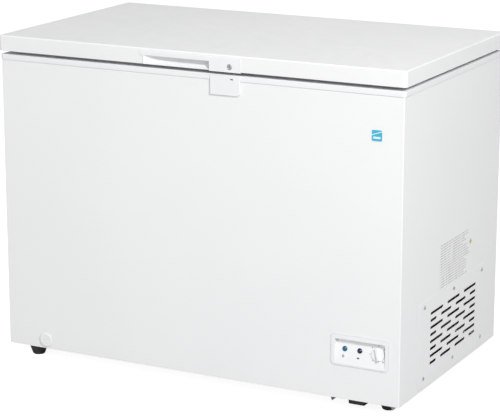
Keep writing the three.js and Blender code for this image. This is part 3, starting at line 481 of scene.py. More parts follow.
def prism(outline, low, high):
    """A straight prism over an outline in X and Y."""
    return loft([level(outline, z) for z in (low, high)])


def brick(lo, hi):
    """A box between two corners, as a tool for cutting and joining."""
    outline = [(lo[0], lo[1]), (hi[0], lo[1]), (hi[0], hi[1]), (lo[0], hi[1])]
    return prism(outline, lo[2], hi[2])


def carve(solid, *tools, how="DIFFERENCE"):
    """Cuts closed solids out of another one, or joins them to it."""
    helpers = []
    for bm in (solid, *tools):
        mesh = bpy.data.meshes.new("helper")
        bm.to_mesh(mesh)
        bm.free()
        obj = bpy.data.objects.new("helper", mesh)
        bpy.context.scene.collection.objects.link(obj)
        helpers.append(obj)
    base = helpers[0]
    for tool in helpers[1:]:
        step = base.modifiers.new("carve", "BOOLEAN")
        step.operation = how
        step.solver = "EXACT"
        step.object = tool
    graph = bpy.context.evaluated_depsgraph_get()
    made = bpy.data.meshes.new_from_object(base.evaluated_get(graph), depsgraph=graph)
    result = bmesh.new()
    result.from_mesh(made)
    bpy.data.meshes.remove(made)
    for obj in helpers:
        mesh = obj.data
        bpy.data.objects.remove(obj)
        bpy.data.meshes.remove(mesh)
    bmesh.ops.remove_doubles(result, verts=result.verts, dist=1e-6)
    return result


def merged(parts):
    """Puts several meshes into one."""
    whole = bmesh.new()
    for bm in parts:
        mesh = bpy.data.meshes.new("merged")
        bm.to_mesh(mesh)
        bm.free()
        whole.from_mesh(mesh)
        bpy.data.meshes.remove(mesh)
    return whole


def soften(bm, width, segments=2, sharper_than=25):
    """Rounds every edge that is sharper than an angle."""
    plain_faces(bm)
    limit = math.radians(sharper_than)
    edges = [e for e in bm.edges if e.is_manifold and e.calc_face_angle(0) > limit]
    bmesh.ops.bevel(
        bm, geom=edges, offset=width, offset_type="OFFSET", segments=segments, profile=0.5,
        affect="EDGES", clamp_overlap=True, harden_normals=False,
    )
    return bm


def bend(corners, radius, steps=6):
    """Points along straight runs whose corners are rounded."""
    at = [Vector(c) for c in corners]
    points = [at[0]]
    for before, here, after in zip(at, at[1:], at[2:]):
        back = (before - here).normalized()
        ahead = (after - here).normalized()
        half = back.angle(ahead) / 2
        start = here + back * (radius / math.tan(half))
        centre = here + (back + ahead).normalized() * (radius / math.sin(half))
        axis = back.cross(ahead).normalized()
        for k in range(steps + 1):
            turn = Matrix.Rotation(-(math.pi - 2 * half) * k / steps, 3, axis)
            points.append(centre + turn @ (start - centre))
    points.append(at[-1])
    return points


def quarter(steps):
    """Angles from 0 to a right angle in equal steps."""
    return [k / steps * math.pi / 2 for k in range(steps + 1)]


def wires(paths, radius, sides=10, closed=False):
    """Round wires along paths of points, as one mesh. Open wires get slightly domed ends."""
    bm = bmesh.new()
    for points in paths:
        count = len(points)
        ahead = [
            (points[(i + 1) % count if closed else min(i + 1, count - 1)]
             - points[(i - 1) % count if closed else max(i - 1, 0)]).normalized()
            for i in range(count)
        ]
        across = ahead[0].orthogonal().normalized()
        rings = []
        for i, here in enumerate(points):
            if i:
                across = (across - ahead[i] * across.dot(ahead[i])).normalized()
            other = ahead[i].cross(across)
            rings.append([
                bm.verts.new(here + radius * (
                    across * math.cos(2 * math.pi * k / sides) + other * math.sin(2 * math.pi * k / sides)
                )) for k in range(sides)
            ])
        for a, b in zip(rings, rings[1:] + ([rings[0]] if closed else [])):
            for k in range(sides):
                j = (k + 1) % sides
                bm.faces.new((a[k], a[j], b[j], b[k]))
        if not closed:
            for ring, at, way in ((rings[0], points[0], -ahead[0]), (rings[-1], points[-1], ahead[-1])):
                tip = bm.verts.new(at + way * radius * 0.4)
                for k in range(sides):
                    bm.faces.new((ring[k], ring[(k + 1) % sides], tip))
    bmesh.ops.recalc_face_normals(bm, faces=bm.faces)
    return bm


def piece(name, bm, finish, node=None, crease=35):
    """Makes a named piece of a mesh. It stands for a CAD node and rides on that node's body.
    A piece without a node is print on the cabinet."""
    mesh = bpy.data.meshes.new(name)
    bm.to_mesh(mesh)
    bm.free()
    mesh.shade_smooth()
    mesh.set_sharp_from_angle(angle=math.radians(crease))
    obj = bpy.data.objects.new(name, mesh)
    bpy.context.scene.collection.objects.link(obj)
    even = obj.modifiers.new("even_shading", "WEIGHTED_NORMAL")
    even.keep_sharp = True
    mesh.materials.append(FINISHES[finish].material)
    if node:
        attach(obj, frame["nodes"][node]["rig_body"])
        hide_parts(node)
    else:
        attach(obj, "cabinet")


def refined(node, finish, width=0.0, segments=2, crease=35):
    """A piece with a CAD node's own shape, welded into one skin and with its edges rounded."""
    bm = bmesh.new()
    bm.from_mesh(frame["nodes"][node].data)
    bmesh.ops.remove_doubles(bm, verts=bm.verts, dist=2e-6)
    if width > 0:
        soften(bm, width, segments, sharper_than=35)
    piece(node + "_part", bm, finish, node, crease)


# ---- Camera, light and floor ----

def aim(obj, place, target):
    obj.location = place
    obj.rotation_mode = "QUATERNION"
    obj.rotation_quaternion = (Vector(target) - Vector(place)).to_track_quat("-Z", "Y")


def make_camera():
    """A long lens from the right of the front, a little above the lid."""
    azimuth, elevation, distance = math.radians(27.4), math.radians(14.2), 5.1
    target = Vector((0.033, -0.089, 0.404))
    level_reach = math.cos(elevation)
    back = Vector((
        math.sin(azimuth) * level_reach, -math.cos(azimuth) * level_reach, math.sin(elevation),
    ))
    data = bpy.data.cameras.new("camera")
    data.sensor_width = 36
    data.lens = 144.4
    camera = bpy.data.objects.new("camera", data)
    bpy.context.scene.collection.objects.link(camera)
    aim(camera, target + back * distance, target)
    bpy.context.scene.camera = camera


def soft_box(name, place, size, power, target=(0, 0, 0.4)):
    data = bpy.data.lights.new(name, "AREA")
    data.shape = "RECTANGLE"
    data.size, data.size_y = size
    data.energy = power
    light = bpy.data.objects.new(name, data)
    bpy.context.scene.collection.objects.link(light)
    aim(light, place, target)


def make_studio():
    """Three soft boxes, a pale surround, and a floor that the camera sees as white."""
    soft_box("key", (3.7, -3.1, 3.7), (1.3, 1.3), 250)
    soft_box("front_fill", (-1.8, -4.4, 1.6), (2.0, 2.0), 40)
    soft_box("overhead", (-0.3, 0.4, 3.5), (2.4, 2.4), 22)
    world = bpy.data.worlds.new("surround")
    bpy.context.scene.world = world
    world.use_nodes = True
    tree = world.node_tree
    background = next(n for n in tree.nodes if n.type == "BACKGROUND")
    seen = tree.nodes.new("ShaderNodeLightPath").outputs["Is Camera Ray"]
    strength = tree.nodes.new("ShaderNodeMapRange")
    strength.inputs["To Min"].default_value = 0.33
    strength.inputs["To Max"].default_value = 1.0
    tree.links.new(seen, strength.inputs["Value"])
    tree.links.new(strength.outputs["Result"], background.inputs["Strength"])
    background.inputs["Color"].default_value = (1, 1, 1, 1)

    reach = 30.0
    bm = bmesh.new()
    signs = ((-1, -1), (1, -1), (1, 1), (-1, 1))
    bm.faces.new([bm.verts.new((sx * reach, sy * reach, 0)) for sx, sy in signs])
    mesh = bpy.data.meshes.new("floor")
    bm.to_mesh(mesh)
    bm.free()
    floor = bpy.data.objects.new("floor", mesh)
    bpy.context.scene.collection.objects.link(floor)
    paper = Finish("paper", (0.45, 0.45, 0.45), 0.9, Emission_Color=(1, 1, 1, 1))
    seen = paper.add("ShaderNodeLightPath").outputs["Is Camera Ray"]
    glow = paper.ranged(seen, 0.12, 0.9, 0, 1)
    paper.feed(paper.shader.inputs["Emission Strength"], glow)
    paper.cloud(1.5, 2, (0.44, 0.445, 0.45))
    mesh.materials.append(paper.material)
    bpy.context.scene.view_settings.view_transform = "Standard"


# ---- Cabinet ----

PANEL_LO, PANEL_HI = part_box("control_bezel")
PANEL_AT = middle_of("control_bezel")
DRAIN_AT = middle_of("drain_cap")
COVER_LO, COVER_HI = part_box("vent_cover")
SCREWS = [f"vent_screw_{i}" for i in range(1, 7)]
SCREW_AT = [middle_of(name) for name in SCREWS]
SCREW_HOLE = 0.0024
KEEPER_X, KEEPER_Z = 0.107, 0.78165


def cabinet_sheet():
    """The bent sheet of front and sides. Its sides step out a little behind a pressed line."""
    corner, press, strip, step = 0.0022, 0.0008, 0.047, 0.0022

    def plan(inset):
        half = [
            Vector((SIDE - inset, BACK)),
            Vector((SIDE - inset, FRONT + strip + step)),
            Vector((SIDE - press - inset, FRONT + strip)),
        ]
        centre = Vector((SIDE - press - corner, FRONT + corner))
        for angle in quarter(8):
            half.append(centre + (corner - inset) * Vector((math.cos(angle), -math.sin(angle))))
        return half + [Vector((-p.x, p.y)) for p in reversed(half)]

    edge = 0.0004
    levels = [(WRAP_LO.z, edge), (WRAP_LO.z + edge, 0.0), (WRAP_HI.z, 0.0)]
    loops = []
    for z, inset in levels:
        loops.append(level(plan(inset) + list(reversed(plan(SHEET - inset))), z))
    sheet = loft(loops)

    def front_tool(outline, x, z):
        return put(prism(outline, -0.02, 0.02), facing((x, FRONT, z), TOWARDS_FRONT))

    panel = (PANEL_HI - PANEL_LO) / 2
    covered = 0.004
    window = rounded(panel.x - covered, panel.z - covered, 0.0075)
    service_low = (SIDE - 0.01, COVER_LO.y + 0.048, COVER_LO.z + 0.032)
    service_high = (SIDE + 0.01, COVER_HI.y - 0.042, COVER_HI.z - 0.026)
    tools = [
        front_tool(window, PANEL_AT.x, PANEL_AT.z),
        front_tool(circle(0.012), DRAIN_AT.x, DRAIN_AT.z),
        brick(service_low, service_high),
    ]
    for at in SCREW_AT:
        hole = prism(circle(SCREW_HOLE, 12), -0.01, 0.01)
        tools.append(put(hole, facing((SIDE, at.y, at.z), TOWARDS_RIGHT)))
    bm = carve(sheet, *tools)
    piece("cabinet_sheet", bm, "white_paint", "outer_wrap", crease=20)


def slot_outline(y, z, height):
    """One slot with round ends between two Y limits."""
    half = height / 2
    points = []
    for centre, start in ((y[1] - half, -0.5), (y[0] + half, 0.5)):
        for k in range(9):
            angle = (start + k / 8) * math.pi
            points.append(Vector((centre + half * math.cos(angle), z + half * math.sin(angle))))
    return points


def side_grille():
    """The cover of the compressor's compartment: brick-bonded slots and six screw holes."""
    rows, pitch, height, bridge, middle = 8, 0.0181, 0.0072, 0.028, 0.068
    inset_front, inset_rear, top_drop = 0.072, 0.065, 0.041
    y0, y1 = COVER_LO.y + inset_front, COVER_HI.y - inset_rear
    long = (y1 - y0 - 2 * bridge) / 3
    short = (y1 - y0 - 3 * bridge - 2 * middle) / 2
    holes = [circle(SCREW_HOLE, 16, (at.y, at.z)) for at in SCREW_AT]
    for row in range(rows):
        y = y0
        for length in ((short, middle, middle, short) if row % 2 else (long, long, long)):
            z = COVER_HI.z - top_drop - row * pitch
            holes.append(slot_outline((y, y + length), z, height))
            y += length + bridge
    half, at = (COVER_HI - COVER_LO) / 2, middle_of("vent_cover")
    outline = rounded(half.y, half.z, 0.006, 8, (at.y, at.z))
    bm = plate(outline, 2 * half.x, 0.00015, holes)
    put(bm, facing((COVER_LO.x, 0, 0), TOWARDS_RIGHT))
    piece("side_grille", bm, "white_paint", "vent_cover", crease=50)


def pan_screws():
    """Six pan-head screws with cross recesses, each turned a little differently."""
    head, shank, neck = 0.0046, 0.0018, 0.0096
    arm, arm_width, first_turn, next_turn = 0.0025, 0.00045, 0.35, 0.9
    profile = [
        (0, -neck), (shank, -neck), (shank, 0), (head, 0), (head, 0.0006), (head * 0.93, 0.0012),
        (head * 0.72, 0.00175), (head * 0.4, 0.00205), (0, 0.0021),
    ]
    for i, (name, at) in enumerate(zip(SCREWS, SCREW_AT)):
        recess = [
            brick((-a, -b, 0.0009), (a, b, 0.004)) for a, b in ((arm, arm_width), (arm_width, arm))
        ]
        screw = carve(lathe(profile, 28), *recess)
        turn = first_turn + next_turn * i
        put(screw, facing((COVER_HI.x + FIT, at.y, at.z), TOWARDS_RIGHT, turn))
        piece(f"pan_screw_{i + 1}", screw, "steel", name, crease=40)


def rim_collar():
    """The moulded collar: outer band, top land, the basket's ledge, and the slot for the lock."""
    outer_radius, step_radius, inner_radius = 0.008, 0.02, 0.014
    bottom, top, ledge = RIM_LO.z, RIM_HI.z, RIM_HI.z - 0.007
    outside = [
        (0.0005, bottom), (0.0, bottom + 0.0005), (0.0, top - 0.0017), (0.0005, top - 0.0005),
        (0.0017, top),
    ]
    step = [
        (0.0635, top), (0.0652, top - 0.0006), (0.066, top - 0.002), (0.066, ledge + 0.0008),
        (0.0668, ledge),
    ]
    inside = [
        (0.0733, ledge), (0.074, ledge - 0.0007), (0.074, bottom + 0.0006), (0.0734, bottom),
    ]
    half_x, half_y = RIM_HI.x, (RIM_HI.y - RIM_LO.y) / 2
    loops = [
        round_loop(half_x - inset, half_y - inset, outer_radius - inset, z) for inset, z in outside
    ]
    for part, corner in ((step, step_radius), (inside, inner_radius)):
        loops += [round_loop(half_x - inset, half_y - inset, corner, z) for inset, z in part]
    cam_lo, cam_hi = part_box("lock_cam")
    slot = brick(
        (cam_lo.x + 0.002, cam_lo.y - 0.0015, ledge - 0.002),
        (cam_hi.x + 0.001, cam_hi.y + 0.0015, top + 0.01),
    )
    half_length, half_height, depth = 0.0045, 0.00185, 0.007
    keeper = brick(
        (KEEPER_X - half_length, RIM_LO.y - 0.001, KEEPER_Z - half_height),
        (KEEPER_X + half_length, RIM_LO.y + depth, KEEPER_Z + half_height),
    )
    bm = carve(loft(loops, closed=True), slot, keeper)
    piece("rim_collar", bm, "white_plastic", "top_rim", crease=45)


def storage_tub():
    """The embossed liner: a deep tub, its step over the compressor, and a flange at the top."""
    step_x, step_top, floor, radius, fillet = 0.293, 0.323, 0.086, 0.03, 0.012
    tub_x, tub_y = 0.491, 0.253
    flange = (LINER_HI.x, (LINER_HI.y - LINER_LO.y) / 2)

    def hollow(grow, x, bottom, top):
        centre = ((x[0] + x[1]) / 2, MID_Y)
        half = (x[1] - x[0]) / 2 + grow
        loops = []
        for angle in quarter(6):
            inset = (fillet + grow) * (1 - math.sin(angle))
            z = bottom - grow + (fillet + grow) * (1 - math.cos(angle))
            corner = radius + grow - inset
            outline = rounded(half - inset, tub_y + grow - inset, corner, 10, centre)
            loops.append(level(outline, z))
        loops.append(level(rounded(half, tub_y + grow, radius + grow, 10, centre), top))
        return loft(loops)

    def whole(grow, top):
        lower = hollow(grow, (-tub_x, step_x), floor, step_top + 0.04)
        return carve(hollow(grow, (-tub_x, tub_x), step_top, top), lower, how="UNION")

    rim_thickness = 0.0014
    rim = plate(rounded(*flange, 0.042, 10, (0, MID_Y)), rim_thickness, 0.0004)
    put(rim, Matrix.Translation((0, 0, LINER_HI.z - rim_thickness)))
    shell = carve(whole(SHEET, LINER_HI.z), rim, how="UNION")
    plug = middle_of("drain_plug")
    drain = prism(circle(0.009, centre=(plug.x, plug.y)), floor - 0.01, floor + 0.01)
    bm = carve(shell, whole(0, LINER_HI.z + 0.02), drain)
    piece("storage_tub", bm, "liner_white", "inner_liner", crease=30)


def feet():
    """Tapered rubber feet with a rounded sole, a ribbed flank and a round shoulder."""
    profile = [
        (0, 0), (0.0125, 0), (0.0142, 0.0004), (0.0153, 0.0014), (0.0162, 0.003), (0.018, 0.008),
        (0.0205, 0.015), (0.0226, 0.021), (0.0231, 0.0225), (0.023, 0.0262), (0.0223, 0.0275),
        (0.021, 0.028), (0, 0.028),
    ]
    for corner in ("front_left", "front_right", "rear_left", "rear_right"):
        node = "foot_" + corner
        at = middle_of(node)
        bm = lathe(profile, 96, flutes=24, depth=0.0011, fluted=(4, 5, 6, 7))
        put(bm, Matrix.Translation((at.x, at.y, 0)))
        piece("rubber_" + node, bm, "black_rubber", node)


def drain_pieces():
    """The screw-in cap outside, with its coin slot, and the stopper in the tub's floor."""
    cap, stem = 0.0195, 0.0055
    profile = [
        (0, -0.0118), (stem, -0.0118), (stem, 0.0), (cap - 0.0006, 0.0), (cap, 0.0004),
        (cap - 0.0002, 0.0009), (cap - 0.0012, 0.0016), (cap - 0.003, 0.0021),
        (cap - 0.005, 0.0022), (0, 0.0022),
    ]
    slot = soften(brick((-0.0105, -0.0013, 0.0009), (0.0105, 0.0013, 0.004)), 0.0005)
    bm = carve(lathe(profile, 64), slot)
    place = facing((DRAIN_AT.x, FRONT - 0.0008, DRAIN_AT.z), TOWARDS_FRONT, math.radians(20))
    piece("drain_cap_cover", put(bm, place), "white_plastic", "drain_cap")

    stopper = [
        (0, 0), (0.0072, 0), (0.008, 0.0006), (0.008, 0.0013), (0.0132, 0.0013), (0.014, 0.0018),
        (0.0138, 0.0036), (0.0125, 0.0045), (0.0062, 0.0056), (0.0045, 0.0075), (0.004, 0.0115),
        (0.0036, 0.0125), (0.0028, 0.013), (0, 0.013),
    ]
    at = middle_of("drain_plug")
    bm = put(lathe(stopper, 48), Matrix.Translation((at.x, at.y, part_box("drain_plug")[0].z)))
    piece("drain_stopper", bm, "gasket_grey", "drain_plug")


def cord_grommet():
    """The ribbed gland that the mains lead would come out of."""
    bore = 0.004
    profile = [
        (bore, 0.018), (bore, 0.0), (0.0074, 0.0), (0.008, 0.0006), (0.008, 0.0061),
        (0.0122, 0.0061), (0.013, 0.0067), (0.013, 0.0087), (0.0122, 0.0095), (0.0072, 0.0095),
        (0.0068, 0.0105), (0.0061, 0.0112), (0.0061, 0.012), (0.0066, 0.0126), (0.0066, 0.0134),
        (0.0059, 0.014), (0.0059, 0.0148), (0.0063, 0.0154), (0.0063, 0.0162), (0.0056, 0.0168),
        (0.0054, 0.018),
    ]
    at = middle_of("cord_gland")
    place = facing((at.x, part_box("cord_gland")[0].y, at.z), TOWARDS_BACK)
    bm = put(lathe(profile, 40, closed=True), place)
    piece("cord_grommet", bm, "black_rubber", "cord_gland")


# ---- Control panel ----

FACE_LOW, FACE_HIGH = 0.1175, 0.1785
FACE_X = (0.3835, 0.515)
FACE_Y = (FRONT - 0.0015, FRONT + 0.0095)
FACE_TILT = math.atan2(FACE_Y[1] - FACE_Y[0], FACE_HIGH - FACE_LOW)
FACE_NORMAL = Vector((0, -math.cos(FACE_TILT), math.sin(FACE_TILT)))
LAMP_NODES = {"power_lamp": "lamp_teal", "run_lamp": "lamp_navy"}
LAMP_X = {"power_lamp": 0.4074, "run_lamp": 0.4465}
LAMP_Z = 0.1533
LAMP_RADIUS = 0.0063
KNOB_X, KNOB_Z = 0.4945, 0.1514


def on_face(x, z, turn=0.0):
    """A frame on the panel's sloping face, +Z outwards."""
    share = (z - FACE_LOW) / (FACE_HIGH - FACE_LOW)
    y = FACE_Y[0] + share * (FACE_Y[1] - FACE_Y[0])
    return facing((x, y, z), FACE_NORMAL, turn)


def control_housing():
    """The panel's frame with its rounded flange and the recess that holds the sloping face."""
    half = (PANEL_HI - PANEL_LO) / 2
    front = PANEL_LO.y
    at = facing((PANEL_AT.x, FRONT - FIT, PANEL_AT.z), TOWARDS_FRONT)
    radius, groove_out, groove_in, groove_floor, body_in = 0.011, 0.0009, 0.0023, 0.0004, 0.0045
    flange = plate(rounded(half.x, half.z, radius, 10), FRONT - FIT - front, 0.0003)
    rim, core = [
        rounded(half.x - inset, half.z - inset, radius - inset, 10)
        for inset in (groove_out, groove_in)
    ]
    groove = put(plate(rim, 0.003, 0.00005, [core]), Matrix.Translation((0, 0, groove_floor)))
    flange = put(carve(flange, groove), at)
    body = put(prism(rounded(half.x - body_in, half.z - body_in, 0.007, 6), -0.0145, 0.0008), at)
    opening = rounded(
        (FACE_X[1] - FACE_X[0]) / 2, (FACE_HIGH - FACE_LOW) / 2, 0.0035, 6,
        ((FACE_X[0] + FACE_X[1]) / 2, (FACE_LOW + FACE_HIGH) / 2),
    )
    slope = (FACE_Y[1] - FACE_Y[0]) / (FACE_HIGH - FACE_LOW)
    outside = [(p.x, front - 0.01, p.y) for p in opening]
    on_slope = [(p.x, FACE_Y[0] + (p.y - FACE_LOW) * slope, p.y) for p in opening]
    recess = loft([outside, on_slope])
    housing = carve(carve(flange, body, how="UNION"), recess)
    soften(housing, 0.00025, 2, 60)
    deep, play, shaft_hole = 0.008, 0.0004, 0.0046
    holes = [
        put(prism(circle(LAMP_RADIUS + play, 40), -deep, deep), on_face(x, LAMP_Z))
        for x in LAMP_X.values()
    ]
    holes.append(put(prism(circle(shaft_hole, 32), -deep, deep), on_face(KNOB_X, KNOB_Z)))
    bm = carve(housing, *holes)
    piece("control_housing", bm, "white_plastic", "control_bezel", crease=40)


def panel_lamps():
    """Domed lenses with fine rings moulded into them."""
    edge, rings, step = LAMP_RADIUS - 0.0005, 9, 0.0006
    profile = [
        (0, -0.008), (LAMP_RADIUS, -0.008), (LAMP_RADIUS, 0.0003), (LAMP_RADIUS - 0.0003, 0.0009),
    ]
    for k in range(rings):
        radius, height = edge - k * step, 0.0011 + k * step * 0.14
        profile += [(radius, height), (radius - step / 2, height - 0.00015)]
    profile.append((0, 0.0018))
    for node, finish in LAMP_NODES.items():
        bm = put(lathe(profile, 40), on_face(LAMP_X[node], LAMP_Z))
        piece(node + "_lens", bm, finish, node)


def dial_knob():
    """A round knob with a fluted flank and a raised pointer blade across it."""
    radius, top = 0.017, 0.0026
    profile = [
        (0, -0.0115), (0.004, -0.0115), (0.004, 0.0006), (radius - 0.0004, 0.0006),
        (radius, 0.0009), (radius, 0.0011), (radius, 0.0019), (radius - 0.0003, 0.0023),
        (radius - 0.0008, top), (0, top + 0.0001),
    ]
    base = lathe(profile, 144, flutes=36, depth=0.0005, fluted=(5, 6))
    foot = [
        (0.0034, -0.0148), (0.0034, 0.0138), (0.0022, 0.0155), (-0.0022, 0.0155),
        (-0.0034, 0.0138), (-0.0034, -0.0148), (-0.0026, -0.0155), (0.0026, -0.0155),
    ]
    levels = [(1.0, top - 0.0004), (0.97, 0.0072), (0.88, 0.0079), (0.7, 0.0081)]
    blade = loft([
        [(x * share, y * (1 - (1 - share) * 0.35), z) for x, y in foot] for share, z in levels
    ])
    groove = brick((-0.0004, 0.004, 0.0076), (0.0004, 0.0145, 0.01))
    turn = Matrix.Rotation(math.radians(17), 4, "Z")
    knob = carve(carve(base, put(blade, turn), how="UNION"), put(groove, turn))
    put(knob, on_face(KNOB_X, KNOB_Z))
    piece("dial_knob", knob, "white_plastic", "thermostat_knob", crease=40)


def panel_marks():
    """Printed marks: ticks round the knob, a small diamond and a small dash under the lamps."""
    film, lift = 0.00012, Matrix.Translation((0, 0, 0.00006))
    marks = []

    def mark(outline, place, holes=()):
        marks.append(put(plate(outline, film, film * 0.3, holes), place @ lift))

    ticks, sweep, reach = 7, 280, 0.0212
    for i in range(ticks):
        angle = math.radians(-sweep / 2 + sweep * i / (ticks - 1))
        x, up = math.sin(angle) * reach, math.cos(angle) * reach
        half_length = 0.0012 + 0.0002 * i
        place = on_face(KNOB_X + x, KNOB_Z + up * math.cos(FACE_TILT), -angle)
        mark(rounded(0.0007, half_length, 0.0006, 3), place)
    diamond = [Vector(p) for p in ((0.0031, 0), (0, 0.0041), (-0.0031, 0), (0, -0.0041))]
    mark(diamond, on_face(0.4044, 0.1356), [[p * 0.5 for p in diamond]])
    mark(rounded(0.0031, 0.0017, 0.001, 4), on_face(0.4436, 0.1352))
    piece("panel_marks", merged(marks), "print_grey")


def labels():
    """The film label on the side and the square sticker on the front."""
    lo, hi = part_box("data_label")
    at = (lo + hi) / 2
    bm = plate(rounded((hi.y - lo.y) / 2, (hi.z - lo.z) / 2, 0.0025, 5), hi.x - lo.x, 0.0001)
    put(bm, facing((lo.x, at.y, at.z), TOWARDS_RIGHT))
    piece("side_label", bm, "label_white", "data_label")
    lo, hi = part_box("blue_sticker")
    at = (lo + hi) / 2
    bm = plate(rounded((hi.x - lo.x) / 2, (hi.z - lo.z) / 2, 0.003, 6), hi.y - lo.y, 0.0001)
    put(bm, facing((at.x, hi.y, at.z), TOWARDS_FRONT))
    piece("square_sticker", bm, "label_blue", "blue_sticker")


def strike_cover():
    """The plate below the lock, with one cut corner and the keeper's slot."""
    lo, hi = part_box("strike_plate")
    x, z = (lo.x + hi.x) / 2, (lo.z + hi.z) / 2
    cut_corner = 0.0055
    outline = [Vector((a - x, b - z)) for a, b in (
        (lo.x, lo.z), (hi.x - cut_corner, lo.z), (hi.x, lo.z + cut_corner), (hi.x, hi.z), (lo.x, hi.z),
    )]
    slot = rounded(0.004, 0.00135, 0.0006, 3, (KEEPER_X - x, KEEPER_Z - z))
    cover = put(plate(outline, hi.y - lo.y, 0.0009, [slot]), facing((x, hi.y, z), TOWARDS_FRONT))
    rim_room = brick(
        (lo.x - 0.01, RIM_LO.y - FIT, WRAP_HI.z), (hi.x + 0.01, hi.y + 0.01, RIM_HI.z + 0.01),
    )
    bm = carve(cover, rim_room)
    piece("strike_cover", bm, "white_plastic", "strike_plate", crease=40)


# ---- Lid ----

HANDLE_LO, HANDLE_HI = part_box("handle_insert")
HANDLE_LEFT = -0.136
HANDLE_TOP = 0.827
BAR_LOW = 0.822
LOCK_BOSS_LEFT = 0.047


def handle_room(low, top):
    """The room that the lid's parts leave for the handle."""
    return brick(
        (HANDLE_LEFT - FIT, LID_LO.y - 0.01, low - 0.01), (HANDLE_HI.x + FIT, HANDLE_HI.y + FIT, top),
    )


def lid_shell():
    """The lid's painted sheet: rounded at its corners and along its top, open for the handle."""
    corner, top_round = 0.009, 0.0034
    low, high = LID_LO.z, LID_HI.z
    section = [
        (SHEET + 0.003, high - SHEET), (SHEET, high - SHEET - 0.003), (SHEET, low + 0.0004),
        (SHEET - 0.0003, low), (0.0003, low), (0.0, low + 0.0004),
    ]
    for angle in quarter(5):
        inset = top_round * (1 - math.cos(angle))
        section.append((inset, high - top_round * (1 - math.sin(angle))))
    half_x, half_y = LID_HI.x, (LID_HI.y - LID_LO.y) / 2
    loops = [
        round_loop(half_x - inset, half_y - inset, corner - inset, z, 12) for inset, z in section
    ]
    bm = carve(loft(loops), handle_room(low, HANDLE_TOP + FIT))
    piece("lid_shell", bm, "white_paint", "lid_skin", crease=25)


def lid_panel():
    """The vacuum-formed panel under the lid: flange, plug with round edges, pressed fields."""
    lo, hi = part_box("lid_liner")
    half_x, half_y, corner = hi.x, (hi.y - lo.y) / 2, 0.0075
    plug_x, plug_y, wall, press = 0.47, 0.232, 0.0017, 0.0009
    under, flange_low, flange_high = lo.z, hi.z - wall, hi.z

    def loop(inset, z, radius):
        return round_loop(plug_x - inset, plug_y - inset, radius, z)

    def outer(inset, z):
        return round_loop(half_x - inset, half_y - inset, corner - inset, z)

    loops = [
        loop(wall + 0.004, under + wall, 0.016), loop(wall, under + wall + 0.004, 0.0183),
        loop(wall, flange_high, 0.0183), outer(0.0004, flange_high),
        outer(0, flange_high - 0.0004), outer(0, flange_low + 0.0004), outer(0.0004, flange_low),
        loop(-0.002, flange_low, 0.022), loop(-0.0006, flange_low - 0.0008, 0.0206),
        loop(0, flange_low - 0.0025, 0.02), loop(0.0002, under + 0.004, 0.02),
        loop(0.0014, under + 0.0012, 0.0188), loop(0.004, under, 0.016), loop(0.036, under, 0.012),
        loop(0.0372, under + press, 0.011), loop(0.042, under + press, 0.009),
        loop(0.0432, under, 0.008),
    ]
    fields, first, spacing = 5, -0.34, 0.17
    pressed = []
    for i in range(fields):
        outline = rounded(0.03, 0.15, 0.028, 8, (first + spacing * i, MID_Y))
        pressed.append(prism(outline, under - 0.002, under + press))
    bm = carve(loft(loops), handle_room(under, HANDLE_TOP), *pressed)
    piece("lid_panel", bm, "liner_white", "lid_liner", crease=40)


def lid_seal():
    """The seal's section: a foot in the lid, a pinched neck and a rounded magnetic bulb."""
    lo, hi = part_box("lid_gasket")
    half_x, half_y, width, corner = hi.x, (hi.y - lo.y) / 2, 0.014, 0.02
    left = [
        (0.0, 1.0), (0.0, 0.72), (0.0006, 0.66), (0.0034, 0.62), (0.0042, 0.56), (0.0034, 0.5),
        (0.0014, 0.45), (0.0006, 0.36), (0.0006, 0.14), (0.0012, 0.05), (0.0024, 0.0),
    ]
    section = left + [(width - inset, share) for inset, share in reversed(left)]
    loops = [
        round_loop(half_x - inset, half_y - inset, corner - inset, lo.z + share * (hi.z - lo.z))
        for inset, share in section
    ]
    piece("lid_seal", loft(loops, closed=True), "gasket_grey", "lid_gasket", crease=50)


def finger_pocket(front, rear, low):
    """The room for the fingers: it starts at the lid's lower edge and gets deeper upwards."""
    left, right, outside = HANDLE_LEFT + 0.003, LOCK_BOSS_LEFT, front - 0.01
    lip, depth, steps = 0.0012, rear - 0.004 - front, 8
    loops = []
    for k in range(steps + 1):
        share = k / steps
        z = low + lip + share * (BAR_LOW - low - 0.0008)
        reach = lip + (depth - lip) * math.sin(share * math.pi / 2) ** 0.9
        loops.append(level([
            (left, outside), (right, outside), (right, front + reach * 0.86),
            (right - 0.004, front + reach), (left + 0.09, front + reach * 0.9),
            (left + 0.03, front + reach * 0.62), (left, front + 0.0008),
        ], z))
    return loft(loops)


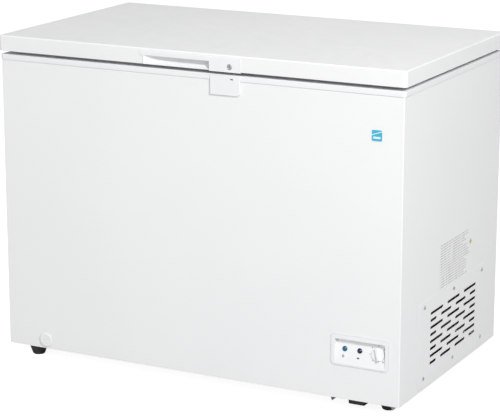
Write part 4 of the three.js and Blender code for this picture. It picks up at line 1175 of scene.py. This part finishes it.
def handle_grip():
    """The handle: a block in the lid's front, a bar along its top, a finger pocket, a lock boss."""
    front, rear = HANDLE_LO.y, HANDLE_HI.y
    low = LID_LO.z
    right = HANDLE_HI.x
    body = brick((HANDLE_LEFT, front, low), (right, rear, HANDLE_TOP))
    lock_boss = brick((LOCK_BOSS_LEFT, front, HANDLE_LO.z), (right, rear - 0.004, low + 0.001))
    bar = brick((HANDLE_LO.x, front, BAR_LOW), (right, LID_LO.y - FIT, HANDLE_HI.z))
    solid = carve(body, lock_boss, bar, how="UNION")
    solid = carve(solid, finger_pocket(front, rear, low))
    soften(solid, 0.0007, 3, 40)
    lock = middle_of("lock_barrel")
    cam_lo, cam_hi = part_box("lock_cam")
    bore_radius, bore_length, cam_room_top = 0.007, 0.03, 0.82
    bore = prism(circle(bore_radius, 40), 0, bore_length)
    put(bore, facing((lock.x, cam_hi.y, lock.z), TOWARDS_FRONT))
    cam_room = brick(
        (cam_lo.x - 0.004, cam_lo.y - 0.0011, low - 0.005),
        (cam_hi.x + 0.0025, cam_hi.y + 0.0019, cam_room_top),
    )
    bm = carve(solid, bore, cam_room)
    piece("handle_grip", bm, "white_plastic", "handle_insert", crease=40)


def lock_cylinder():
    """The lock's plated barrel with a ring, a sunk face and its key slot."""
    lo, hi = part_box("lock_barrel")
    radius = (hi.x - lo.x) / 2
    length = hi.y - lo.y
    profile = [
        (0, -length), (radius, -length), (radius, -0.0006), (radius - 0.0005, 0),
        (radius - 0.0014, 0), (radius - 0.0018, -0.0005), (radius - 0.0022, -0.0005),
        (radius - 0.0024, -0.0002), (0, -0.0001),
    ]
    key = brick((-0.0009, -0.0034, -0.004), (0.0009, 0.0034, 0.001))
    notch = brick((-0.0016, -0.0006, -0.004), (0.0009, 0.0012, 0.001))
    at = middle_of("lock_barrel")
    bm = carve(lathe(profile, 48), key, notch)
    put(bm, facing((at.x, lo.y, at.z), TOWARDS_FRONT))
    piece("lock_cylinder", bm, "steel", "lock_barrel")


# ---- Hinges, basket and works ----

def hinges():
    """Pins with upset heads and close-wound springs; the brackets keep their own shape."""
    for side in ("left", "right"):
        node = "hinge_pin_" + side
        lo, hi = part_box(node)
        half = (hi.x - lo.x) / 2
        profile = [
            (0, -half), (0.0048, -half), (0.0055, -half + 0.0006), (0.0055, -half + 0.0014),
            (0.0049, -half + 0.002), (0.0035, -half + 0.002),
        ]
        profile += [(r, -h) for r, h in reversed(profile)]
        pin = put(lathe(profile, 32), facing((lo + hi) / 2, TOWARDS_RIGHT))
        refined("hinge_base_" + side, "galvanised", 0.0004)
        refined("hinge_arm_" + side, "galvanised", 0.0004)
        piece("hinge_pin_rod_" + side, pin, "steel", node)
        node = "hinge_spring_" + side
        lo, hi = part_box(node)
        wire, turns, steps = 0.0013, 9, 24
        coil = (hi.x - lo.x) / 2 - wire
        centre = (lo + hi) / 2
        points = []
        for i in range(turns * steps + 1):
            angle = 2 * math.pi * i / steps
            share = i / (turns * steps)
            points.append(Vector((
                centre.x + coil * math.cos(angle), centre.y + coil * math.sin(angle),
                lo.z + wire + (hi.z - lo.z - 2 * wire) * share,
            )))
        piece("coil_spring_" + side, wires([points], wire, 10), "steel", node)


def basket():
    """The coated wire basket: close wires, a heavier frame at the top and middle, four hooks."""
    lo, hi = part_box("wire_basket")
    heavy, light = 0.0025, 0.0016
    middle_x = (lo.x + hi.x) / 2
    half_x, half_y = (hi.x - lo.x) / 2 - heavy, 0.238 - heavy
    left, right = middle_x - half_x, middle_x + half_x
    front, rear = MID_Y - half_y, MID_Y + half_y
    top, floor = 0.762, lo.z + light
    lengthwise, crosswise, bend_radius = 5, 17, 0.016
    paths = []
    for i in range(lengthwise):
        x = left + 2 * half_x * (i + 1) / (lengthwise + 1)
        run = [(x, front, top), (x, front, floor), (x, rear, floor), (x, rear, top)]
        paths.append(bend(run, bend_radius))
    for i in range(crosswise):
        y = front + 2 * half_y * (i + 1) / (crosswise + 1)
        z = floor + 2 * light
        run = [(left, y, top), (left, y, z), (right, y, z), (right, y, top)]
        paths.append(bend(run, bend_radius))
    thin = wires(paths, light, 8)
    outline = rounded(half_x, half_y, 0.012, 6, (middle_x, MID_Y))
    frames = [[Vector(p) for p in level(outline, z)] for z in (floor + 0.1, top)]
    thick = wires(frames, heavy, 10, closed=True)
    spread, reach, hook_low, hook_top = 0.068, 0.2475, top - 0.01, hi.z - heavy
    hooks = []
    for side in (-1, 1):
        wall, ledge = MID_Y + side * half_y, MID_Y + side * reach
        for x in (middle_x - spread, middle_x + spread):
            run = [(x, wall, hook_low), (x, wall, hook_top), (x, ledge, hook_top)]
            hooks.append(bend(run, 0.004))
    whole = merged((thin, thick, wires(hooks, heavy, 10)))
    piece("basket_wires", whole, "basket_coat", "wire_basket", crease=60)


def works():
    """Sheets, foam and the cooling circuit keep their own shapes, with rounded edges."""
    for node in ("back_panel", "base_panel", "compressor_tray", "compressor_bulkhead"):
        refined(node, "galvanised", 0.0004)
    for node in ("foam_body", "lid_foam"):
        refined(node, "foam")
    for node in ("suction_tube", "evaporator_coil", "condenser_coil"):
        refined(node, "copper", crease=70)
    refined("discharge_tube", "black_paint", crease=70)
    refined("filter_drier", "copper", 0.0006)
    refined("compressor", "black_paint", 0.0012, crease=50)
    for i in range(1, 5):
        refined(f"compressor_mount_{i}", "black_rubber", 0.0006)
    refined("compressor_relay", "black_rubber", 0.003, segments=3)
    refined("thermostat_body", "black_rubber", 0.002, segments=3)
    refined("tray_buffer", "black_rubber", 0.003, segments=4)
    refined("drain_tube", "white_plastic", crease=60)
    refined("lock_cam", "steel", 0.0005)


make_camera()
make_studio()
cabinet_sheet()
side_grille()
pan_screws()
rim_collar()
storage_tub()
feet()
drain_pieces()
cord_grommet()
control_housing()
panel_lamps()
dial_knob()
panel_marks()
labels()
strike_cover()
lid_shell()
lid_panel()
lid_seal()
handle_grip()
lock_cylinder()
hinges()
basket()
works()
